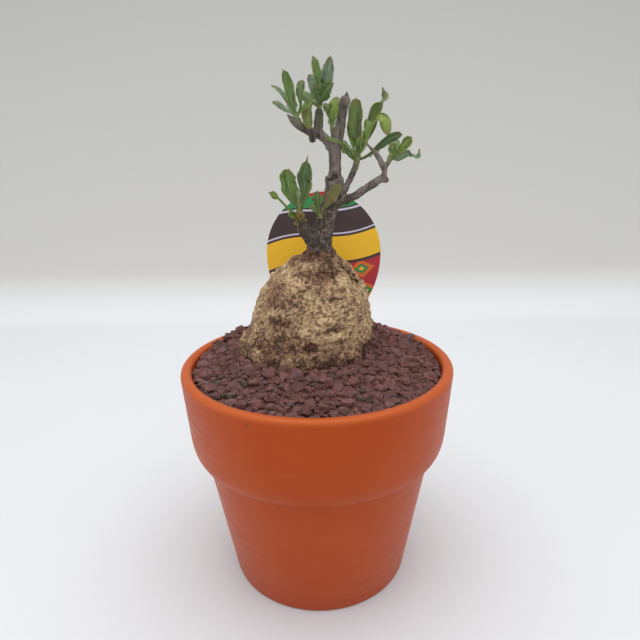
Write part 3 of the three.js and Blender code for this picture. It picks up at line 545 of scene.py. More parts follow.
def printed_card(s, to_card):
    """Offset print on a polypropylene card, smooth and glossy: bands, panels and rows of lozenges."""
    paint = Paint("Printed polypropylene card", 0.33, 1.49)
    turn = to_card.to_euler("XYZ")
    inputs = {"Vector": paint.place, "Location": to_card.translation, "Rotation": turn, "Scale": (MM, MM, MM)}
    card = paint.add("Mapping", inputs, vector_type="TEXTURE")
    x, y = paint.axis("X", card), paint.axis("Y", card)  # millimetres on the card

    def within(value, low, high):
        above, below = paint.math("GREATER_THAN", value, low), paint.math("LESS_THAN", value, high)
        return paint.math("MULTIPLY", above, below)

    # a slow swell of the bands, 2.5 mm high over 70 mm
    swell = paint.math("SINE", paint.math("MULTIPLY", x, 2 * math.pi / 70))
    band = paint.math("MULTIPLY_ADD", swell, 2.5, y)
    printed = s.ground
    for ink, low, high in (
        (s.green, 24, 60),
        (s.red, 30, 60),
        (s.lilac, 22.2, 23.2),
        (s.lilac, 10.2, 11),
        (s.amber, -4, 9),
        (s.red, *LOZENGE_BAND),
        (s.lilac, -28, -27),
        (s.amber, -60, -34),
    ):
        printed = paint.mix(within(band, low, high), printed, ink)
    # lozenges in the lower red band, 18 mm apart along the row, in rows 12 mm apart
    columns = paint.math("MULTIPLY", paint.math("PINGPONG", x, 9, 0), 1 / 9)
    rows = paint.math("MULTIPLY", paint.math("PINGPONG", y, 6, 0), 1 / 6)
    lozenge = paint.math("ADD", columns, rows)
    field = within(band, *LOZENGE_BAND)
    for ink, reach in ((s.orange, 0.8), (s.green, 0.45), (s.amber, 0.2)):
        printed = paint.mix(paint.math("MULTIPLY", field, within(lozenge, 0, reach)), printed, ink)
    return paint.surface(printed)


def tent_cloth():
    """Matte white backdrop paper: brightest on the floor, with painted shade that greys it a little towards
    the top of the wall.
    """
    paint = Paint("Backdrop paper, matte", 0.95, 1.4)
    shade_greys = ((0, "#DEE1E5"), (0.12, "#CFCDC9"), (0.5, "#C2C1BC"), (1, "#ABABA9"))
    height = paint.remap(paint.axis("Z"), 0, 0.45)
    return paint.surface(paint.ramp(height, *((share, linear(grey)) for share, grey in shade_greys)))


# ---- pot and gravel ----

POT_SEGMENTS = 144
DRAINS = 4


def arc(radius, z, rounding, start, steps=6):
    """Stations of a quarter circle that starts at an angle in degrees."""
    angles = [math.radians(start + 90 * i / steps) for i in range(steps + 1)]
    return [(radius + rounding * math.cos(t), z + rounding * math.sin(t)) for t in angles]


def cove(settings, steps=8):
    """Stations of the rounded step under the collar, from the body up to the collar."""
    start = Vector((settings.shoulder_radius, settings.shoulder_z))
    end = Vector((settings.collar_foot_radius, settings.collar_foot_z))
    pull = Vector((settings.cove_radius, settings.cove_z))
    shares = [i / steps for i in range(steps + 1)]
    return [tuple((1 - t) ** 2 * start + 2 * t * (1 - t) * pull + t * t * end) for t in shares]


class FOCKEA_OT_pot(bpy.types.Operator):
    """Turn the pot with its collar and lip, and drill its drainage holes"""

    bl_idname = "fockea.pot"
    bl_label = "Pot"

    def execute(self, context):
        s = context.scene.fockea_pot
        rim_radius, height = POT_HIGH.x, POT_HIGH.z
        lip_z = height - s.lip_round
        lip_inside = rim_radius - s.lip_width
        base, foot_inside = s.base_radius, s.base_radius - s.foot_width
        profile = [
            (s.drain_radius, s.foot_rise),
            (foot_inside - 1 * MM, s.foot_rise),
            (foot_inside, 0),
            (base - 1.7 * MM, 0),
            (base - 0.5 * MM, 0.5 * MM),
            (base, 1.7 * MM),
            *cove(s),
            *arc(rim_radius - s.lip_round, lip_z, s.lip_round, 0),
            *arc(lip_inside + s.lip_round, lip_z, s.lip_round, 90),
            (lip_inside - 0.5 * MM, s.collar_foot_z + 1 * MM),
            (s.shoulder_radius - s.wall, s.shoulder_z - 1.2 * MM),
            (base - 1.6 * MM, s.floor + 3 * MM),
            (base - 4.2 * MM, s.floor),
            (s.drain_radius, s.floor),
            (s.drain_radius, s.foot_rise),
        ]
        piece = turned("pot_body", profile, POT_SEGMENTS)
        for i in range(DRAINS):
            angle = math.radians(45 + 360 / DRAINS * i)
            place = (s.drain_ring * math.cos(angle), s.drain_ring * math.sin(angle), 0)
            size = {"vertices": 32, "radius": s.drain_radius, "depth": 4 * s.floor}
            drill = add_object("drill", bpy.ops.mesh.primitive_cylinder_add, location=place, **size)
            modify(piece, "BOOLEAN", operation="DIFFERENCE", solver="EXACT", object=drill)
            bpy.data.objects.remove(drill)
        shade_smooth(piece, 40)
        finish_piece(piece, "pot_plastic", "pot", material=terracotta_polypropylene(s))
        # the soil, which shows only through the holes, stays as its node with a finish of its own
        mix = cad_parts["potting_mix"].data.materials
        mix.clear()
        mix.append(potting_mix())
        return {"FINISHED"}


WALL_RADIUS = 59.4 * MM
# inside the caudex, where the bed ends
BED_INSIDE = 20 * MM
# the bed before it gets its shape: its height, and how finely it is divided
FLAT_BED = 106 * MM
BED_SEGMENTS = 200
BED_STEPS = 44
# the caudex where it leaves the gravel
CAUDEX_MIDDLE = Vector((-5.0, 0.0)) * MM
CAUDEX_HALF = Vector((32.6, 29.4)) * MM
# many of the stones round this place are olive
WEATHERED = Vector((-41.0, -31.0)) * MM
WEATHERED_REACH = 11 * MM
# heights in millimetres: the bed at the wall, and how much higher it is at the caudex, in front of it,
# all along the back and in the heap at the back
BED, AT_CAUDEX, AT_FRONT, AT_BACK, HEAP = 105.9, 9.4, 0.4, 5.0, 3.8
# this share of the stones, the large ones, overlap no other, and the rest may overlap one
LARGE_SHARE = 0.35
# how many places are drawn for a stone before it is left out
TRIES = 12
# a shape of stone for each
ROCK_SEEDS = range(20, 29)


def bed_height(x, y):
    """Height of the gravel's surface, higher towards the caudex, in front of it and more so behind it."""
    radius = math.hypot(x, y)
    backwards = y / max(radius, MM)
    rise = smoothstep(58 * MM, 33 * MM, math.hypot(x + 4.6 * MM, y))
    behind = smoothstep(-0.5, 0.5, backwards) * smoothstep(64 * MM, 50 * MM, radius)
    heap = smoothstep(0.2, 0.7, backwards) * smoothstep(61.5 * MM, 55 * MM, radius)
    heap *= 1 - 0.5 * smoothstep(22 * MM, 44 * MM, x)
    front = smoothstep(0, -26 * MM, y) * rise
    return (BED + AT_CAUDEX * rise + AT_FRONT * front + (AT_BACK * behind + HEAP * heap) * (1 - rise)) * MM


def random_vector(draw, size):
    """Numbers of a normal distribution, as a vector in any direction."""
    return Vector([draw.gauss(0, 1) for _ in range(size)])


def rock(seed):
    """One lava stone of unit size: a lump with knocked-off sides and a rough skin."""
    draw = random.Random(seed)
    piece = add_object("rock", bpy.ops.mesh.primitive_ico_sphere_add, subdivisions=2, radius=1)
    offset = Vector([draw.uniform(0, 50) for _ in range(3)])
    flats = [(random_vector(draw, 3).normalized(), draw.uniform(0.45, 0.8)) for _ in range(6)]
    for corner in piece.data.vertices:
        for direction, reach in flats:
            beyond = corner.co.dot(direction) - reach
            if beyond > 0:
                corner.co -= direction * beyond
        corner.co *= 1 + 0.5 * noise.noise(corner.co * 1.6 + offset) + draw.uniform(-0.13, 0.13)
    return piece


def stone_places(settings):
    """Each stone's middle, half sizes, turn and shade. The largest stones come first."""
    draw = random.Random(settings.seed)
    places = []
    taken = []
    for i in range(settings.stones):
        share = i / settings.stones
        size = settings.large + (settings.small - settings.large) * share**0.6
        for _ in range(TRIES):
            radius = math.sqrt(draw.uniform((22 * MM) ** 2, (WALL_RADIUS - 0.7 * size) ** 2))
            angle = draw.uniform(0, 2 * math.pi)
            x, y = radius * math.cos(angle), radius * math.sin(angle)
            away = Vector(((x - CAUDEX_MIDDLE.x) / CAUDEX_HALF.x, (y - CAUDEX_MIDDLE.y) / CAUDEX_HALF.y))
            clear = away.length > 1 + 0.1 * size / CAUDEX_HALF.y
            near = sum((x - u) ** 2 + (y - v) ** 2 < (0.62 * (size + w)) ** 2 for u, v, w in taken)
            if clear and near < (1 if share < LARGE_SHARE else 2):
                break
        else:
            continue
        taken.append((x, y, size))
        lift = draw.uniform(-0.45, 0.15) * size + (0.8 * MM if share > 0.7 else 0)
        half = Vector((size, size * draw.uniform(0.65, 1.0), size * draw.uniform(0.6, 0.95)))
        turn = Quaternion(random_vector(draw, 4)).normalized()
        shade = draw.random()
        if shade < 0.5 and (Vector((x, y)) - WEATHERED).length < WEATHERED_REACH:
            shade *= 0.12
        places.append((Vector((x, y, bed_height(x, y) + lift)), half, turn, shade))
    return places


class FOCKEA_OT_gravel(bpy.types.Operator):
    """Lay the bed of gravel and its loose lava stones"""

    bl_idname = "fockea.gravel"
    bl_label = "Lava gravel"

    def execute(self, context):
        s = context.scene.fockea_gravel
        material = lava_stone(s)
        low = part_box("lava_gravel")[0].z
        radii = [WALL_RADIUS + (BED_INSIDE - WALL_RADIUS) * i / BED_STEPS for i in range(BED_STEPS + 1)]
        surface = [(radius, FLAT_BED) for radius in radii]
        profile = [(WALL_RADIUS, low), *surface, (BED_INSIDE, low), (WALL_RADIUS, low)]
        bed = turned("gravel_bed", profile, BED_SEGMENTS)
        for corner in bed.data.vertices:
            if corner.co.z > low + MM:
                crumbs = noise.fractal(corner.co / (2.6 * MM), 0.7, 2.0, 3)
                corner.co.z = bed_height(corner.co.x, corner.co.y) - 0.3 * MM + 1.5 * MM * crumbs
        store(bed, "tint", [0.34 + 0.2 * noise.noise(co / (3 * MM)) for co in places_of(bed)])
        finish_piece(bed, "lava_gravel", "lava_gravel", material=material)

        rocks = [rock(seed) for seed in ROCK_SEEDS]
        heap = bmesh.new()
        layer = heap.verts.layers.float.new("tint")
        for i, (middle, half, turn, shade) in enumerate(stone_places(s)):
            first = len(heap.verts)
            heap.from_mesh(rocks[i % len(rocks)].data)
            heap.verts.ensure_lookup_table()
            for corner in heap.verts[first:]:
                corner.co = middle + half * (turn @ corner.co)
                corner[layer] = shade
        for original in rocks:
            bpy.data.objects.remove(original)
        stones = add_object("gravel_stones", bpy.ops.mesh.primitive_ico_sphere_add, radius=MM)
        heap.to_mesh(stones.data)
        heap.free()
        finish_piece(stones, "lava_gravel", "lava_gravel", material=material)
        return {"FINISHED"}


# ---- caudex and wood ----


# the caudex below this height lies in the gravel
BURIED_BELOW = 112 * MM
# how fine the meshes are
CAUDEX_GRID = 0.82 * MM
WOOD_GRID = 0.42 * MM
# the trunk's foot on the caudex, in millimetres
TRUNK_X = 2.2
# the highest knob or deepest hollow among the marks, in millimetres
MARK_LIMIT = 4.0
# marks on the caudex, in millimetres: middle, half sizes, how far each stands out, and how pale or dark it
# is; the dark of the hollows, creases and the trunk's foot is painted shade
CAUDEX_MARKS = [
    # the hollow under the crown, sunk, with painted shade in it
    ((6.5, -16, 156.2), (7.5, 12, 6), -2.2, -0.75),
    ((-2.3, -18.0, 154.4), (9, 12, 3.4), -1.2, -0.45),
    # the grainy crown left of it; the ring round the trunk, darker partly as the crown's own browner colour
    # and partly as painted shade at the trunk's foot; and the pale ridge below the hollow
    ((-4.5, -12.0, 159.6), (11, 13, 7), 0.9, -0.4),
    ((-10.6, -4.0, 160.8), (5, 10, 4), 0.8, -0.55),
    ((2.2, -5.0, 162.0), (15, 12, 5.5), 0.0, -0.85),
    ((-0.5, -21.0, 151.3), (10.5, 12, 2.6), 0.8, -0.05),
    # the slope on the right, steeper than the node's
    ((15.4, -4.0, 159.9), (8, 14, 7), -3.4, -0.3),
    ((20.9, -4.0, 153.4), (8, 14, 9), -3.4, 0.0),
    ((14.9, -14.0, 152.1), (7, 12, 5), 0.0, 0.3),
    # the middle, a little darker than the plates beside it
    ((-1.0, -24.0, 143.0), (14, 14, 12), 0.0, -0.22),
    ((-19.0, -12.0, 147.5), (8, 12, 8), 0.0, -0.15),
    # smooth yellow plates at the front right, with a pit and creases that are sunk and darkened as painted
    # shade
    ((5.2, -28.0, 140.8), (14, 14, 9), 0.3, 0.25),
    ((12.8, -20.0, 148.7), (2.4, 12, 1.7), -0.5, -0.5),
    ((8.7, -25.0, 145.4), (5, 12, 1.0), -0.7, -0.6),
    ((10.7, -28.0, 132.3), (12, 14, 1.4), -0.8, -0.5),
    ((7.6, -30.0, 129.9), (6, 14, 2.4), 0.7, 0.5),
    ((11.0, -29.0, 127.0), (11, 14, 1.4), -0.8, -0.5),
    # browner skin at the front left, with hollows that are sunk and darkened as painted shade
    ((-17.2, -18.0, 146.4), (13, 16, 9), 0.0, -0.6),
    ((-15.8, -26.0, 135.2), (10, 16, 4.5), -0.7, -0.8),
    ((-9.9, -30.0, 127.0), (13, 16, 6.5), -0.8, -0.5),
    ((-2.6, -31.0, 125.2), (4.2, 12, 3.4), -1.5, -1.1),
    ((-22.5, -20.0, 127.0), (9, 14, 8), -0.3, -0.55),
    ((-27.1, -20.0, 118.8), (5, 14, 4), 0.5, 0.6),
    # a knob on the left, the waist below it, and the foot on the right, sunk and darkened as painted shadow
    ((-24.2, -4.0, 151.0), (3.2, 7, 2.8), 3.2, 0.0),
    ((-31.9, -6.0, 128.4), (5, 14, 6), -1.6, -0.3),
    ((24.3, -12.0, 117.8), (5, 14, 7), -1.6, -1.2),
    # knobs that close round the trunk's foot, darker partly as the crown's own colour and partly as painted
    # shade at the foot
    *(
        ((TRUNK_X + 6.3 * math.cos(turn), 6.3 * math.sin(turn), 162.4), (2.9, 2.9, 3.2), 1.5, -0.6)
        for turn in (0.2, 1.0, 1.9, 2.6, 3.5, 4.1, 4.9, 5.6)
    ),
]
# marks on the bark, like those on the caudex, and how green the wood is
BARK_MARKS = [
    # the scar of a lost branch and its lip
    ((9.2, -3.6, 196.2), (2.2, 3.5, 1.5), -1.1, -1.7, 0.0),
    ((7.2, -3.8, 194.9), (2.6, 3.5, 1.0), -0.8, -1.5, 0.0),
    ((5.4, -3.2, 197.2), (1.7, 3.5, 1.7), 1.0, -0.1, 0.0),
    ((8.2, -3.6, 198.5), (3.0, 3.5, 1.1), 0.6, 0.3, 0.0),
    # the cut tip, with a dark edge at the top
    ((13.8, 0.0, 227.6), (6, 6, 3.6), 0.0, 0.7, 0.0),
    ((13.0, 0.0, 220.5), (6, 6, 10), 0.0, -0.5, 0.2),
    ((14.2, 0.0, 230.4), (2.6, 5, 2.4), 0.0, -2.0, 0.0),
    # the pale right edge of the scaly trunk, and hollows in it darkened as painted shade
    ((1.0, -6.0, 166.5), (5, 4, 4), 0.0, -0.35, 0.0),
    ((-1.8, -6.0, 172.0), (3, 5, 4), 0.3, -0.5, 0.2),
    ((5.2, -5.0, 174.5), (3, 4, 4), 0.3, 0.15, 0.0),
    # green twigs under the shoots
    ((2.8, -2.6, 219.5), (3.5, 4, 8), 0.7, -0.5, 0.8),
    ((-6.4, -6.7, 219.0), (4, 4, 4), 0.5, 0.0, 0.8),
    ((-2.0, -6.5, 213.5), (8, 5, 7), 0.1, -0.6, 0.1),
    ((19.2, 5.0, 200.5), (3.5, 4, 4.5), 0.1, 0.0, 0.7),
    ((32.4, -6.0, 201.8), (3.5, 4, 3.5), 0.1, 0.0, 0.6),
    ((25.0, -3.7, 207.4), (3.5, 4, 4), 0.1, 0.0, 0.8),
    ((-5.9, -7.8, 178.6), (3.5, 4, 3), 0.3, 0.1, 0.5),
    ((10.0, -0.5, 213.0), (4, 4, 4), 0.0, 0.0, 0.35),
]


def marked(marks, co, column, sign=1):
    """What the marks near a place add up to: how far it stands out (column 2), its tone (3) or green (4)."""
    total = 0.0
    for mark in marks:
        value = mark[column] * sign
        away = [(co[i] / MM - mark[0][i]) / mark[1][i] for i in range(3)]
        if value and max(away) < 1 and min(away) > -1:
            total += value * smoothstep(1.0, 0.35, math.hypot(*away))
    return total


def push_marks(piece, marks):
    """Raises and sinks a piece where its marks say so."""
    for name, sign in (("raised", 1), ("sunk", -1)):
        weigh(piece, name, [marked(marks, co, 2, sign) / MARK_LIMIT for co in places_of(piece)])
        modify(piece, "DISPLACE", strength=sign * MARK_LIMIT * MM, mid_level=0, vertex_group=name)


def cork(place):
    """Height of the cork at a place in millimetres, from 0 in a crack to 1 on a crest of the warts."""
    place = place + 1.3 * noise.noise_vector(place / 3.6)
    near, next_one = noise.voronoi(place / 2.8)[0][:2]
    wart = smoothstep(0.0, 0.95, next_one - near)
    folds = 1 - noise.turbulence(place / 2.5, 2, True)
    crumbs = noise.fractal(place / 1.1, 0.9, 2.0, 2)
    swell = noise.noise(place / 5.5)
    return min(1.0, max(0.0, 0.1 + 0.34 * wart + 0.36 * folds + 0.24 * crumbs + 0.16 * swell))


def mixed_cork(co, scale):
    """Small warts, and larger ones drawn out sideways on the yellow plates."""
    place = co / MM * scale
    coarse = plates(co)
    height = (1 - coarse) * cork(place * 1.15)
    return height + coarse * cork(place * Vector((0.75, 0.75, 1.25))) if coarse else height


def plates(co):
    """1 inside the smoother, yellower part at the front right, and 0 outside it."""
    return smoothstep(17 * MM, 9 * MM, (co - Vector((10, -26, 137)) * MM).length)


def cork_reach(co):
    """How much of the cork's relief shows: less on the yellow plates, and none where the trunk stands."""
    under_trunk = smoothstep(4.5 * MM, 1.5 * MM, math.hypot(co.x - TRUNK_X * MM, co.y))
    under_trunk *= smoothstep(160 * MM, 161 * MM, co.z)
    return (1 - 0.25 * plates(co)) * (1 - under_trunk) * (0.8 + 0.3 * noise.noise(co / (5 * MM)))


class FOCKEA_OT_caudex(bpy.types.Operator):
    """Grow the warty skin of the caudex over its node"""

    bl_idname = "fockea.caudex"
    bl_label = "Caudex"

    def execute(self, context):
        s = context.scene.fockea_caudex
        piece = copy_of("caudex", "caudex_skin")
        modify(piece, "REMESH", mode="VOXEL", voxel_size=CAUDEX_GRID)
        modify(piece, "SMOOTH", factor=0.5, iterations=5)
        # only what stands above the gravel is fine enough to carry the cork
        with editing(piece) as mesh:
            for face in mesh.faces:
                face.select_set(min(corner.co.z for corner in face.verts) > BURIED_BELOW)
            bmesh.update_edit_mesh(piece.data)
            bpy.ops.mesh.subdivide(number_cuts=1, smoothness=0.0)
        modify(piece, "SMOOTH", factor=0.5, iterations=2)
        lumps = texture("Lumps", "CLOUDS", s.lump, noise_depth=2)
        modify(piece, "DISPLACE", texture=lumps, strength=s.lump_height, mid_level=0.5)
        push_marks(piece, CAUDEX_MARKS)
        places = places_of(piece)
        noise.seed_set(s.seed)
        heights = [mixed_cork(co, s.wart_scale) for co in places]
        # painted shade: the caudex is darkened towards the gravel, below 131 mm
        gravel_shade = [0.4 * smoothstep(131 * MM, 116 * MM, co.z) for co in places]
        tones = [0.5 + 0.5 * marked(CAUDEX_MARKS, co, 3) - dark for co, dark in zip(places, gravel_shade)]
        weigh(piece, "cork", [height * cork_reach(co) for co, height in zip(places, heights)])
        modify(piece, "DISPLACE", strength=-0.45 * s.wart_height, mid_level=0)
        modify(piece, "DISPLACE", strength=s.wart_height, mid_level=0, vertex_group="cork")
        # each height's rank instead of the height itself gives cracks, skin and crests even shares
        order = sorted(range(len(heights)), key=heights.__getitem__)
        for rank, index in enumerate(order):
            heights[index] = rank / len(order)
        store(piece, "relief", heights)
        store(piece, "tone", tones)
        shade_smooth(piece)
        finish_piece(piece, "caudex_skin", "caudex", material=caudex_cork(s))
        return {"FINISHED"}


class FOCKEA_OT_wood(bpy.types.Operator):
    """Round off the trunk and branches and roughen their bark"""

    bl_idname = "fockea.wood"
    bl_label = "Trunk and branches"

    def execute(self, context):
        s = context.scene.fockea_wood
        piece = copy_of("trunk_and_branches", "bark_skin")
        modify(piece, "REMESH", mode="VOXEL", voxel_size=WOOD_GRID)
        modify(piece, "SMOOTH", factor=0.5, iterations=6)
        knots = texture("Knots", "CLOUDS", 3.2 * MM, noise_depth=2)
        modify(piece, "DISPLACE", texture=knots, strength=0.8 * MM, mid_level=0.45)
        flakes = texture("Flakes", "VORONOI", 1.6 * MM, distance_metric="DISTANCE_SQUARED")
        modify(piece, "DISPLACE", texture=flakes, strength=-0.3 * MM, mid_level=0.3)
        weigh(piece, "foot", [smoothstep(167.5 * MM, 163.5 * MM, co.z) for co in places_of(piece)])
        roots = texture("Roots", "CLOUDS", 2.4 * MM, noise_depth=1)
        modify(piece, "DISPLACE", texture=roots, strength=2 * s.flare, mid_level=0.4, vertex_group="foot")
        push_marks(piece, BARK_MARKS)
        places = places_of(piece)
        store(piece, "tone", [0.5 + 0.5 * marked(BARK_MARKS, co, 3) for co in places])
        store(piece, "fresh", [marked(BARK_MARKS, co, 4) for co in places])
        shade_smooth(piece)
        finish_piece(piece, "bark", "trunk_and_branches", material=young_bark(s))
        return {"FINISHED"}


# ---- leaves ----


class Leaf(NamedTuple):
    """A leaf from its foot to its tip, in millimetres, degrees and shares of its length."""

    width: float
    path: tuple  # the points that it follows
    tone: float  # from old to young
    roll: float = 0  # turns its face away from the front
    twist: float = 0  # turns it further, from twist_from to the tip
    twist_from: float = 0
    arch: float = 0.06  # bows it
    petiole: float = 0.14  # its bare stalk
    drip: float = 0.03  # its bare tip
    peak: float = 0.64  # where the blade is widest
    blunt: float = 0.6  # the lower, the rounder its end
    bloom: float = 0  # painted blue-grey sheen
    dry: float = 0  # brown, and above 1 brown all over


def leaf_on(width, *path, **shape):
    return Leaf(width, path, **shape)


